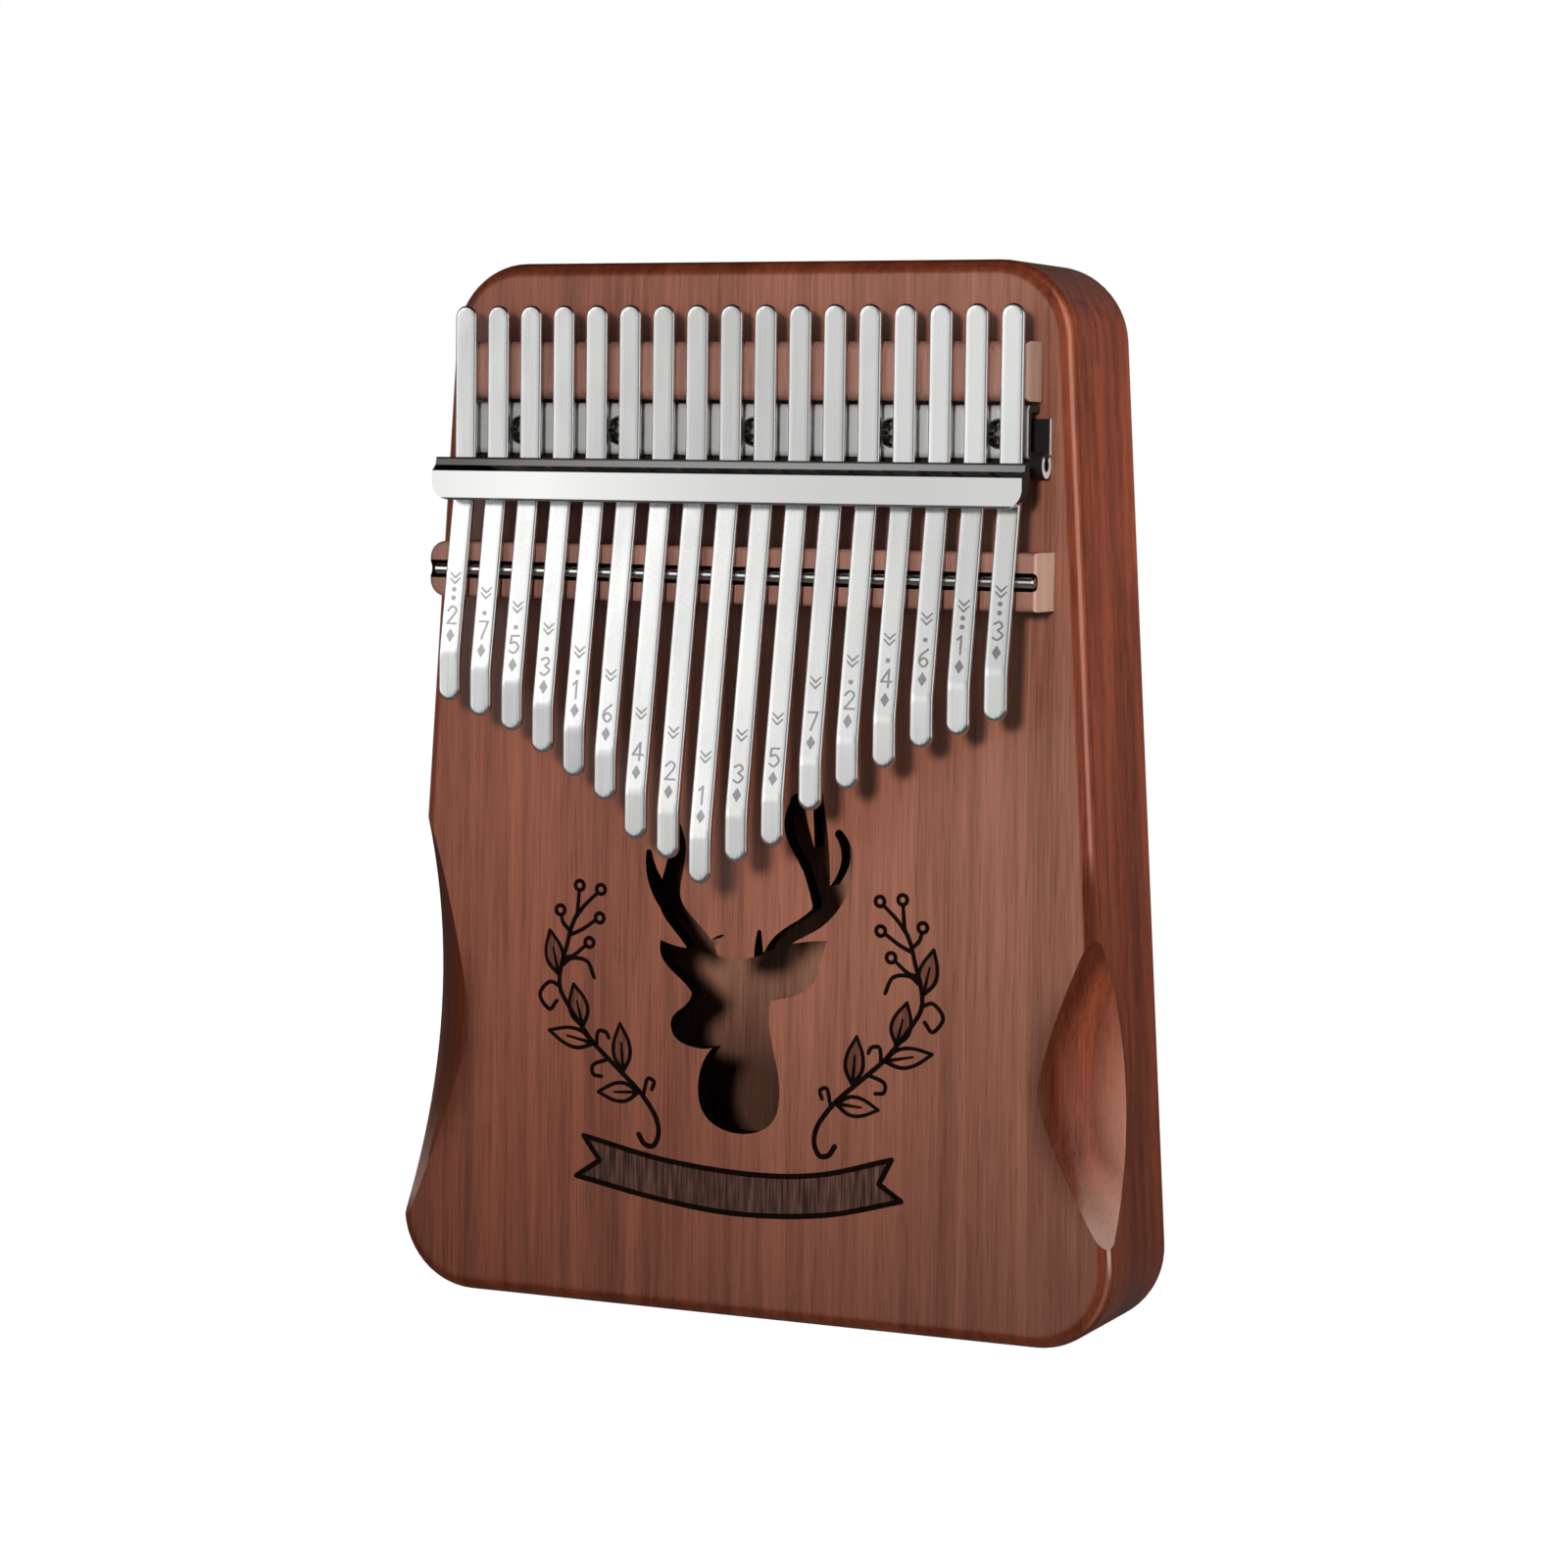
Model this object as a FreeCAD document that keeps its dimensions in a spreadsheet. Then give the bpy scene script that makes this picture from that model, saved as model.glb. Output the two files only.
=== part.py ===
"""Seventeen-key thumb piano (kalimba, a modern mbira) on a hollow mahogany box.

Frame: millimetres, +Z up the instrument, the sounding face looks along -Y and +X is to
the player's right.  The origin is the middle of the flat foot that the box stands on.
Heights are distances up Z; levels are distances out from the sounding face, along -Y.
"""
import FreeCAD, Part

import math
import os

import Sketcher

Vector = FreeCAD.Vector
TINE_COUNT = 17
MIDDLE_TINE = 9

DIMENSIONS = {
    # the box
    "height": 185.0,
    "base_width": 139.0,
    "top_width": 116.0,
    "depth": 31.0,
    "corner_radius": 14.0,
    "edge_radius": 3.0,
    "board_thickness": 4.0,
    "back_thickness": 4.0,
    "wall": 10.0,
    "cavity_radius": 6.0,
    # the hand scoops in the two front edges; the left one is longer and flatter
    "right_scoop_height": 44.0,
    "right_scoop_radius": 62.0,
    "right_scoop_edge": 58.0,
    "left_scoop_height": 48.5,
    "left_scoop_radius": 120.0,
    "left_scoop_edge": 57.6,
    "scoop_angle": 53.0,
    "shoulder_radius": 7.0,
    # the two finger holes in the back
    "finger_hole": 13.0,
    "finger_hole_spacing": 64.0,
    "finger_hole_height": 106.0,
    # the tines
    "pitch": 6.42,
    "tine_width": 4.1,
    "tine_thickness": 1.0,
    "tine_level": 8.4,
    "tine_top": 177.2,
    "bend_height": 148.0,
    "rise_angle": 9.9,
    "tip_length": 8.4,
    "tip_gap": 0.08,
    "end_radius": 1.95,
    "running_clearance": 0.15,
    # height of each tine's tip, from the long middle tine outwards
    "tip_middle": 78.8,
    "tip_second": 82.7,
    "tip_third": 85.7,
    "tip_fourth": 92.0,
    "tip_fifth": 95.8,
    "tip_sixth": 99.6,
    "tip_seventh": 103.2,
    "tip_eighth": 105.5,
    "tip_outer": 108.0,
    # the two wooden strips and the saddle rod
    "rear_strip_length": 107.4,
    "rear_strip_height": 166.0,
    "rear_strip_width": 10.0,
    "front_strip_length": 114.4,
    "front_strip_shift": -0.7,
    "front_strip_width": 9.8,
    "front_strip_level": 9.4,
    "front_strip_radius": 0.9,
    "front_strip_end_radius": 3.0,
    "rear_strip_radius": 1.8,
    "rod_height": 131.0,
    "rod_diameter": 2.0,
    "rod_length": 112.8,
    "groove_radius": 1.6,
    "groove_clearance": 0.02,
    "hinge_drop": 1.2,
    # the chromed bracket under the tines
    "bracket_length": 111.0,
    "channel_length": 106.6,
    "bracket_top": 160.4,
    "bracket_front": 151.4,
    "bracket_level": 5.2,
    "sheet": 1.2,
    "fold_radius": 1.1,
    "bead_radius": 2.2,
    "bead_bore": 1.1,
    "foot_height": 158.2,
    "foot_thickness": 0.9,
    # the pressure bar over the tines
    "bar_length": 110.7,
    "bar_shift": -0.45,
    "bar_top": 150.7,
    "bar_bottom": 143.2,
    "bar_level": 12.2,
    "bar_corner": 3.2,
    "bar_bevel": 0.4,
    "bar_lip_drop": 1.2,
    "bar_lip_width": 1.4,
    "bar_slope_width": 1.0,
    # the wooden block glued inside, behind the bracket and the bar
    "block_length": 96.0,
    "block_bottom": 141.0,
    "block_top": 165.0,
    "block_thickness": 9.0,
    # the bracket's wood screws
    "screw_height": 155.6,
    "screw_diameter": 2.4,
    "screw_length": 15.0,
    "screw_head_diameter": 5.2,
    "screw_head_height": 1.7,
    # the bolts that pull the pressure bar down
    "bolt_height": 146.4,
    "bolt_diameter": 2.0,
    "bolt_bite": 2.2,
    "bolt_head_diameter": 4.0,
    "bolt_head_height": 1.6,
    "washer_diameter": 6.0,
    "washer_thickness": 0.6,
    "hole_clearance": 0.05,
}
TIP_CELLS = ["tip_middle", "tip_second", "tip_third", "tip_fourth", "tip_fifth",
             "tip_sixth", "tip_seventh", "tip_eighth", "tip_outer"]
# gaps between neighbouring tines, counted from the player's left, that hold a fastener
SCREW_GAPS = [2, 5, 9, 13, 16]
BOLT_GAPS = [3, 7, 10, 14]
# share of the shoulder's full turn that carries its flare just past the sounding face
SHOULDER_TURN = 0.93
# a drive recess against its screw head: length, blade width and depth
RECESS_REACH = 1.3
RECESS_BLADE = 0.26
RECESS_DEPTH = 0.55
CLOSE = 1e-6

doc = FreeCAD.newDocument("kalimba")
parts = []


# ---------------------------------------------------------------- the driving dimensions
def make_sheet():
    sheet = doc.addObject("Spreadsheet::Sheet", "dims")
    for row, (name, value) in enumerate(DIMENSIONS.items(), start=1):
        sheet.set("A%d" % row, name)
        sheet.set("B%d" % row, str(value))
        sheet.setAlias("B%d" % row, name)
    doc.recompute()
    return sheet


sheet = make_sheet()


def size(name):
    """A driving dimension, as a plain number."""
    return float(sheet.get(name))


def cell(text):
    """Turn a formula written with bare cell names into one the document understands."""
    words = []
    word = ""
    for letter in text + " ":
        if letter.isalnum() or letter == "_":
            word += letter
            continue
        words.append("dims." + word if word in DIMENSIONS else word)
        words.append(letter)
        word = ""
    return "".join(words).strip()


FACE = "(-depth / 2)"
TINE_RISE = "tan(rise_angle * 1deg)"
TINE_SLANT = "cos(rise_angle * 1deg)"
TINE_BACK = "(tine_level - tine_thickness)"


def tine_front_level(height):
    """Level of the front face of a tine on its rising stretch, as a formula."""
    return "(tine_level + %s * (bend_height - %s))" % (TINE_RISE, height)


# ---------------------------------------------------------------- sketches and bodies
def new_body(label):
    body = doc.addObject("PartDesign::Body", label)
    body.Label = label
    return body


def keep(obj, label):
    """Register a finished sub-part under the name of its node."""
    obj.Label = label
    parts.append(obj)
    return obj


def origin_plane(body, role):
    for feature in body.Origin.OriginFeatures:
        if feature.Role == role:
            return feature
    raise ValueError(role)


def new_sketch(body, name, role, offset=None):
    """A sketch on one of the body's origin planes; offset is a formula along its normal."""
    sketch = body.newObject("Sketcher::SketchObject", name)
    sketch.AttachmentSupport = [(origin_plane(body, role), "")]
    sketch.MapMode = "FlatFace"
    if offset:
        sketch.setExpression(".AttachmentOffset.Base.z", cell(offset))
    doc.recompute()
    return sketch


def pin(sketch, geometry, point, across, along):
    """Fix one point of a sketch at two formulas measured from the sketch's origin."""
    for kind, formula in (("DistanceX", across), ("DistanceY", along)):
        spot = sketch.getPoint(geometry, point)
        now = spot.x if kind == "DistanceX" else spot.y
        index = sketch.addConstraint(
            Sketcher.Constraint(kind, -1, 1, geometry, point, now))
        sketch.setExpression("Constraints[%d]" % index, cell(formula))


def value_of(formula):
    """The present value of a formula."""
    probe = doc.getObject("probe") or doc.addObject("App::FeaturePython", "probe")
    if "answer" not in probe.PropertiesList:
        probe.addProperty("App::PropertyFloat", "answer")
    probe.setExpression("answer", cell(formula))
    probe.recompute()
    return probe.answer


def polygon(sketch, corners):
    """A closed outline of straight lines whose corners are pairs of formulas."""
    spots = [Vector(value_of(across), value_of(along), 0) for across, along in corners]
    first = sketch.GeometryCount
    count = len(spots)
    for index in range(count):
        sketch.addGeometry(Part.LineSegment(spots[index], spots[(index + 1) % count]))
    for index in range(count):
        following = first + (index + 1) % count
        sketch.addConstraint(Sketcher.Constraint("Coincident", first + index, 2, following, 1))
    for index, (across, along) in enumerate(corners):
        pin(sketch, first + index, 1, across, along)
    return first


def circle(sketch, across, along, radius):
    spot = Vector(value_of(across), value_of(along), 0)
    index = sketch.addGeometry(
        Part.Circle(spot, Vector(0, 0, 1), value_of(radius)))
    pin(sketch, index, 3, across, along)
    datum = sketch.addConstraint(Sketcher.Constraint("Radius", index, value_of(radius)))
    sketch.setExpression("Constraints[%d]" % datum, cell(radius))
    return index


def pad(body, sketch, name, length, both_ways=True):
    feature = body.newObject("PartDesign::Pad", name)
    feature.Profile = sketch
    feature.SideType = "Symmetric" if both_ways else "One side"
    feature.setExpression("Length", cell(length))
    doc.recompute()
    return feature


def pocket_through(body, sketch, name):
    before = body.Shape.Volume
    feature = body.newObject("PartDesign::Pocket", name)
    feature.Profile = sketch
    feature.Type = "ThroughAll"
    feature.SideType = "Symmetric"
    doc.recompute()
    if feature.Shape.Volume > before - 1e-3:
        raise ValueError("%s cuts nothing" % name)
    return feature


def edges_where(shape, test):
    """Names of the edges whose middle point passes the test."""
    names = []
    for number, edge in enumerate(shape.Edges, start=1):
        middle = edge.valueAt((edge.FirstParameter + edge.LastParameter) / 2)
        if test(middle, edge):
            names.append("Edge%d" % number)
    return names


def round_edges(body, base, name, radius, test):
    feature = body.newObject("PartDesign::Fillet", name)
    feature.Base = (base, edges_where(base.Shape, test))
    feature.setExpression("Radius", cell(radius))
    doc.recompute()
    return feature


def bevel_edges(body, base, name, width, test):
    feature = body.newObject("PartDesign::Chamfer", name)
    feature.Base = (base, edges_where(base.Shape, test))
    feature.setExpression("Size", cell(width))
    doc.recompute()
    return feature


def is_along(edge, axis):
    """Whether a straight edge runs along an axis."""
    if edge.Curve.TypeId != "Part::GeomLine":
        return False
    return abs(abs(edge.Curve.Direction.dot(axis)) - 1) < CLOSE


def part_box(name, length, width, height, corner):
    """A box from formulas: its size and the formulas of its lowest corner."""
    box = doc.addObject("Part::Box", name)
    for field, formula in (("Length", length), ("Width", width), ("Height", height)):
        box.setExpression(field, cell(formula))
    for axis, formula in zip("xyz", corner):
        box.setExpression(".Placement.Base.%s" % axis, cell(formula))
    return box


def part_drill(name, radius, length, spot):
    """A cylinder along +Y from formulas: its radius, length and starting point."""
    drill = doc.addObject("Part::Cylinder", name)
    drill.Placement = FreeCAD.Placement(Vector(0, 0, 0),
                                        FreeCAD.Rotation(Vector(1, 0, 0), -90))
    drill.setExpression("Radius", cell(radius))
    drill.setExpression("Height", cell(length))
    for axis, formula in zip("xyz", spot):
        drill.setExpression(".Placement.Base.%s" % axis, cell(formula))
    return drill


def cut(name, base, tool):
    feature = doc.addObject("Part::Cut", name)
    feature.Base = base
    feature.Tool = tool
    return feature


def common(name, base, tool):
    feature = doc.addObject("Part::Common", name)
    feature.Base = base
    feature.Tool = tool
    return feature


def fuse(name, shapes):
    feature = doc.addObject("Part::MultiFuse", name)
    feature.Shapes = shapes
    return feature


def gap_middle(gap):
    """Formula for the middle of the gap between tine number gap and the next one."""
    return "(%g * pitch)" % (gap + 0.5 - MIDDLE_TINE)


# ---------------------------------------------------------------- the outside of the box
def make_outer_form():
    """The whole box as one block: tapered outline, rounded corners and edges, scoops."""
    body = new_body("outer_form")
    sketch = new_sketch(body, "box_outline", "XZ_Plane")
    polygon(sketch, [("-base_width / 2", "0"), ("base_width / 2", "0"),
                     ("top_width / 2", "height"), ("-top_width / 2", "height")])
    block = pad(body, sketch, "box_block", "depth")
    corners = round_edges(body, block, "box_corners", "corner_radius",
                          lambda middle, edge: is_along(edge, Vector(0, 1, 0)))
    half_depth = size("depth") / 2
    rounded = round_edges(body, corners, "box_edges", "edge_radius",
                          lambda middle, edge: abs(abs(middle.y) - half_depth) < CLOSE)
    body.Tip = rounded
    return body


def make_scoop(hand):
    """A cutter for one hand's scoop: a large wheel, leaning across the front edge.

    Its rim runs straight along the scoop's floor and flares outwards in a rounded
    shoulder where the floor meets the sounding face.  It is built on the right side
    and mirrored to the left.
    """
    lean = math.radians(size("scoop_angle"))
    face = -size("depth") / 2
    height = size(hand + "_scoop_height")
    along = Vector(math.cos(lean), math.sin(lean), 0)
    outward = Vector(math.sin(lean), -math.cos(lean), 0)
    shoulder = size("shoulder_radius")
    edge = Vector(size(hand + "_scoop_edge"), face, height)
    floor_start = edge + along * (shoulder * math.tan(lean / 2))
    centre = floor_start - outward * shoulder
    turn = lean * SHOULDER_TURN

    def on_shoulder(angle):
        return centre + (outward * math.cos(angle) - along * math.sin(angle)) * shoulder

    # the shoulder's arc curves away from the floor towards the sounding face
    arc = Part.Arc(on_shoulder(0), on_shoulder(turn / 2), on_shoulder(turn))
    flare_end = on_shoulder(turn)
    floor_end = floor_start + along * size("depth")
    axis_point = floor_start + outward * size(hand + "_scoop_radius")
    axis_end = axis_point + along * size("depth")
    axis_start = axis_point + along * (flare_end - axis_point).dot(along)
    wire = Part.Wire([arc.toShape(),
                      Part.makeLine(floor_start, floor_end),
                      Part.makeLine(floor_end, axis_end),
                      Part.makeLine(axis_end, axis_start),
                      Part.makeLine(axis_start, flare_end)])
    wheel = Part.Face(wire).revolve(axis_point, along, 360)
    taper = math.atan((size("base_width") - size("top_width")) / 2 / size("height"))
    wheel.rotate(edge, Vector(0, 1, 0), -math.degrees(taper))
    if hand == "left":
        wheel = wheel.mirror(Vector(0, 0, 0), Vector(1, 0, 0))
    cutter = doc.addObject("Part::Feature", hand + "_scoop_cutter")
    cutter.Shape = wheel
    return cutter


# ---------------------------------------------------------------- the stag-head sound hole
def smooth_edge(points):
    """A smooth curve through points, or a straight line through two."""
    if len(points) == 2:
        return Part.makeLine(points[0], points[1])
    curve = Part.BSplineCurve()
    curve.interpolate(points)
    return curve.toShape()


def curved_outline(stretches):
    """A face bounded by smooth curves that meet in corners; points are X, Z pairs."""
    edges = []
    for stretch in stretches:
        edges.append(smooth_edge([Vector(x, 0, z) for x, z in stretch]))
    return Part.Face(Part.Wire(edges))


def branch(stations):
    """A tapering antler branch with a round tip; each station is X, Z and a width."""
    spots = [Vector(x, 0, z) for x, z, width in stations]
    left = []
    right = []
    for index, (x, z, width) in enumerate(stations):
        before = spots[max(index - 1, 0)]
        after = spots[min(index + 1, len(spots) - 1)]
        run = (after - before).normalize()
        across = Vector(run.z, 0, -run.x) * (width / 2)
        left.append(spots[index] - across)
        right.append(spots[index] + across)
    tip = spots[-1] + run * (stations[-1][2] / 2)
    edges = [smooth_edge(left),
             Part.Arc(left[-1], tip, right[-1]).toShape(),
             smooth_edge(right[::-1]),
             Part.makeLine(right[0], left[0])]
    return Part.Face(Part.Wire(edges))


def make_stag_cutter():
    """A plain stag's head in profile, cut right through the soundboard."""
    crown = (-7.4, 65.4)
    near_ear = (-16.2, 66.3)
    brow = (-10.0, 57.3)
    throat = (-5.9, 47.8)
    nape = (5.2, 56.8)
    far_ear = (15.8, 68.0)
    poll = (4.4, 65.8)
    head = curved_outline([
        [crown, (-11.5, 65.2), near_ear],
        [near_ear, (-15.2, 62.2), (-12.2, 59.6), brow],
        [brow, (-11.4, 54.9), (-13.9, 52.4), (-13.6, 49.8), (-11.0, 48.0), throat],
        [throat, (-8.6, 41.2), (-7.4, 36.0), (-0.6, 33.0), (5.8, 35.6), (7.1, 41.4),
         (5.6, 49.0), nape],
        [nape, (8.8, 57.8), (12.6, 59.7), (14.4, 63.4), far_ear],
        [far_ear, (10.0, 67.3), poll],
        [poll, (1.4, 64.2), (-2.2, 63.7), crown],
    ])
    antlers = [
        branch([(-7.2, 63.0, 5.0), (-11.2, 68.8, 4.4), (-14.4, 73.2, 4.4),
                (-13.9, 78.0, 3.6), (-13.5, 86.0, 2.6)]),
        branch([(-13.6, 71.4, 3.0), (-16.8, 75.6, 3.0), (-18.2, 79.0, 2.0),
                (-18.6, 81.6, 1.2)]),
        branch([(4.8, 63.6, 3.0), (8.4, 68.4, 3.0), (13.0, 71.2, 3.4), (17.0, 75.6, 3.6),
                (19.1, 80.0, 2.6), (19.2, 84.0, 2.1), (17.8, 86.6, 1.6)]),
        branch([(14.2, 72.2, 3.0), (14.7, 78.0, 3.0), (14.4, 86.0, 2.6),
                (13.7, 93.0, 2.0)]),
        branch([(14.8, 72.4, 2.8), (13.9, 76.6, 3.2), (12.5, 80.8, 3.4), (10.6, 84.8, 4.4),
                (9.8, 92.0, 2.6)]),
        branch([(2.9, 64.0, 1.9), (2.8, 67.2, 1.3), (2.9, 68.8, 0.8)]),
        branch([(-6.6, 64.2, 1.6), (-5.7, 66.6, 1.2), (-4.2, 67.5, 0.9)]),
    ]
    outline = head.fuse(antlers).removeSplitter()
    reach = size("board_thickness") * 3
    tool = outline.extrude(Vector(0, reach, 0))
    tool.translate(Vector(0, -size("depth") / 2 - size("board_thickness"), 0))
    cutter = doc.addObject("Part::Feature", "stag_cutter")
    cutter.Shape = tool
    return cutter


# ---------------------------------------------------------------- the wooden box
def make_box():
    form = make_outer_form()
    form = cut("form_right", form, make_scoop("right"))
    form = cut("form_scooped", form, make_scoop("left"))
    wide = "2 * base_width"
    wide_from = "-base_width"

    front_slab = part_box("front_slab", wide, "board_thickness", "2 * height",
                          (wide_from, FACE, "-height / 2"))
    back_slab = part_box("back_slab", wide, "back_thickness", "2 * height",
                         (wide_from, "depth / 2 - back_thickness", "-height / 2"))
    middle_slab = part_box("middle_slab", wide, "depth - board_thickness - back_thickness",
                           "2 * height",
                           (wide_from, "%s + board_thickness" % FACE, "-height / 2"))

    screw_drills = [part_drill("board_screw_drill_%d" % gap,
                               "screw_diameter / 2 + hole_clearance", "board_thickness + 2",
                               (gap_middle(gap), "%s - 1" % FACE, "screw_height"))
                    for gap in SCREW_GAPS]
    bolt_drills = [part_drill("board_bolt_drill_%d" % gap,
                              "bolt_diameter / 2 + hole_clearance", "board_thickness + 2",
                              (gap_middle(gap), "%s - 1" % FACE, "bolt_height"))
                   for gap in BOLT_GAPS]
    board = common("board_blank", form, front_slab)
    board_holes = fuse("board_holes", [make_stag_cutter()] + screw_drills + bolt_drills)
    keep(cut("soundboard_cut", board, board_holes), "soundboard")

    cavity = new_body("cavity")
    sketch = new_sketch(cavity, "cavity_outline", "XZ_Plane")
    taper = "(base_width - top_width) / 2 / height"
    low = "(base_width / 2 - wall * (1 + %s))" % taper
    high = "(top_width / 2 - wall * (1 - %s))" % taper
    polygon(sketch, [("-" + low, "wall"), (low, "wall"),
                     (high, "height - wall"), ("-" + high, "height - wall")])
    hollow = pad(cavity, sketch, "cavity_block", "depth * 2")
    cavity.Tip = round_edges(cavity, hollow, "cavity_corners", "cavity_radius",
                             lambda middle, edge: is_along(edge, Vector(0, 1, 0)))
    rim = common("rim_blank", form, middle_slab)
    keep(cut("rim_cut", rim, cavity), "side_rim")

    finger_holes = fuse("finger_holes", [
        part_drill("finger_hole_%s" % name, "finger_hole / 2", "depth",
                   ("%d * finger_hole_spacing / 2" % side, "0", "finger_hole_height"))
        for name, side in (("left", -1), ("right", 1))])
    back = common("back_blank", form, back_slab)
    keep(cut("back_cut", back, finger_holes), "back_plate")


def make_bridge_block():
    """Hardwood block glued behind the soundboard; it takes the screws and the bolts."""
    block = part_box("block_blank", "block_length", "block_thickness",
                     "block_top - block_bottom",
                     ("-block_length / 2", "%s + board_thickness" % FACE, "block_bottom"))
    start = "%s + board_thickness - 1" % FACE
    bite = "screw_length - bracket_level + sheet - board_thickness + 1"
    drills = [part_drill("block_screw_drill_%d" % gap, "screw_diameter / 2 + hole_clearance",
                         bite, (gap_middle(gap), start, "screw_height"))
              for gap in SCREW_GAPS]
    drills += [part_drill("block_bolt_drill_%d" % gap, "bolt_diameter / 2 + hole_clearance",
                          "block_thickness + 2", (gap_middle(gap), start, "bolt_height"))
               for gap in BOLT_GAPS]
    keep(cut("bridge_block_cut", block, fuse("block_holes", drills)), "bridge_block")


# ---------------------------------------------------------------- strips and saddle rod
def level(formula):
    """Sketch coordinate, on the YZ plane, of a level above the sounding face."""
    return "%s - (%s)" % (FACE, formula)


def make_strip(label, length, shift, middle, width, top_level, groove=False):
    """A wooden strip across the soundboard; shift moves its middle along X.

    The strip with the rod's groove also has the corners of its left end rounded off.
    """
    body = new_body(label)
    sketch = new_sketch(body, label + "_section", "YZ_Plane", shift)
    low = "%s - %s / 2" % (middle, width)
    high = "%s + %s / 2" % (middle, width)
    polygon(sketch, [(FACE, low), (FACE, high), (level(top_level), high),
                     (level(top_level), low)])
    block = pad(body, sketch, label + "_block", length)
    if groove:
        block = round_edges(body, block, label + "_left_end", label + "_end_radius",
                            lambda middle, edge: is_along(edge, Vector(0, 1, 0))
                            and middle.x < 0)
    top = -size("depth") / 2 - value_of(top_level)
    rounded = round_edges(body, block, label + "_edges", label + "_radius",
                          lambda middle, edge: abs(middle.y - top) < CLOSE)
    body.Tip = rounded
    if groove:
        seat = new_sketch(body, label + "_seat", "YZ_Plane")
        circle(seat, level(GROOVE_LEVEL), "rod_height", "groove_radius")
        body.Tip = pocket_through(body, seat, label + "_groove")
    return keep(body, label)


ROD_LEVEL = ("(%s - tine_thickness / %s - (rod_diameter / 2 + running_clearance) / %s)"
             % (tine_front_level("rod_height"), TINE_SLANT, TINE_SLANT))
GROOVE_LEVEL = "(%s - rod_diameter / 2 + groove_radius - groove_clearance)" % ROD_LEVEL


def make_saddle_rod():
    body = new_body("saddle_rod")
    sketch = new_sketch(body, "rod_section", "YZ_Plane")
    circle(sketch, level(ROD_LEVEL), "rod_height", "rod_diameter / 2")
    rod = pad(body, sketch, "rod_bar", "rod_length")
    body.Tip = bevel_edges(body, rod, "rod_ends", "rod_diameter / 8",
                           lambda middle, edge: edge.Curve.TypeId == "Part::GeomCircle")
    return keep(body, "saddle_rod")


# ---------------------------------------------------------------- bracket and pressure bar
def make_base_bracket():
    """Bent sheet channel; its front leg is rolled into a bead that ends in a thin foot."""
    body = new_body("bracket_channel_body")
    sketch = new_sketch(body, "bracket_section", "YZ_Plane")
    polygon(sketch, [
        (FACE, "bracket_top"), (level("bracket_level"), "bracket_top"),
        (level("bracket_level"), "bracket_front"), (level("bead_radius"), "bracket_front"),
        (level("bead_radius"), "bracket_front + sheet"),
        (level("bracket_level - sheet"), "bracket_front + sheet"),
        (level("bracket_level - sheet"), "bracket_top - sheet"),
        (FACE, "bracket_top - sheet")])
    channel = pad(body, sketch, "bracket_channel", "channel_length")
    top = -size("depth") / 2 - size("bracket_level")
    folded = round_edges(body, channel, "bracket_folds", "fold_radius",
                         lambda middle, edge: is_along(edge, Vector(1, 0, 0))
                         and abs(middle.y - top) < CLOSE)
    bead = new_sketch(body, "bead_section", "YZ_Plane")
    bead_middle = "bracket_front - bead_radius + sheet"
    circle(bead, level("bead_radius"), bead_middle, "bead_radius")
    circle(bead, level("bead_radius"), bead_middle, "bead_bore")
    pad(body, bead, "bracket_bead", "bracket_length")
    foot = new_sketch(body, "foot_section", "YZ_Plane")
    foot_start = "%s + bead_radius * 0.8" % bead_middle
    polygon(foot, [(FACE, foot_start), (level("foot_thickness"), foot_start),
                   (level("foot_thickness"), "foot_height"), (FACE, "foot_height")])
    body.Tip = pad(body, foot, "bracket_foot", "bracket_length")
    drills = [part_drill("bracket_drill_%d" % gap, "screw_diameter / 2 + hole_clearance",
                         "bracket_level + sheet", (gap_middle(gap),
                                                   level("bracket_level + sheet / 2"),
                                                   "screw_height"))
              for gap in SCREW_GAPS]
    return keep(cut("bracket_cut", body, fuse("bracket_holes", drills)), "base_bracket")


def make_pressure_bar():
    """Polished bar across all the tines, with a lower, leaning lip along its top edge."""
    body = new_body("pressure_bar_blank")
    sketch = new_sketch(body, "bar_section", "YZ_Plane", "bar_shift")
    under = "tine_level + running_clearance"
    low_under = "%s + %s * (bend_height - bar_bottom)" % (under, TINE_RISE)
    lip = "bar_level - bar_lip_drop"
    lip_foot = "bar_top - bar_lip_width"
    polygon(sketch, [
        (level(under), "bar_top"), (level(lip + " - bar_bevel"), "bar_top"),
        (level(lip), lip_foot),
        (level("bar_level"), lip_foot + " - bar_slope_width"),
        (level("bar_level"), "bar_bottom + bar_bevel"),
        (level("bar_level - bar_bevel"), "bar_bottom"), (level(low_under), "bar_bottom"),
        (level(under), "bend_height")])
    bar = pad(body, sketch, "bar_block", "bar_length")
    bottom = size("bar_bottom")
    body.Tip = round_edges(
        body, bar, "bar_corners", "bar_corner",
        lambda middle, edge: is_along(edge, Vector(0, 1, 0)) and abs(middle.z - bottom) < CLOSE)
    bolt_end = level("bolt_bite + hole_clearance + %s" % BAR_UNDER_AT_BOLT)
    drills = [part_drill("bar_drill_%d" % gap, "bolt_diameter / 2 + hole_clearance",
                         "bar_level", (gap_middle(gap), bolt_end, "bolt_height"))
              for gap in BOLT_GAPS]
    return keep(cut("bar_cut", body, fuse("bar_holes", drills)), "pressure_bar")


BAR_UNDER_AT_BOLT = ("(tine_level + running_clearance + %s * (bend_height - bolt_height))"
                     % TINE_RISE)


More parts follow.
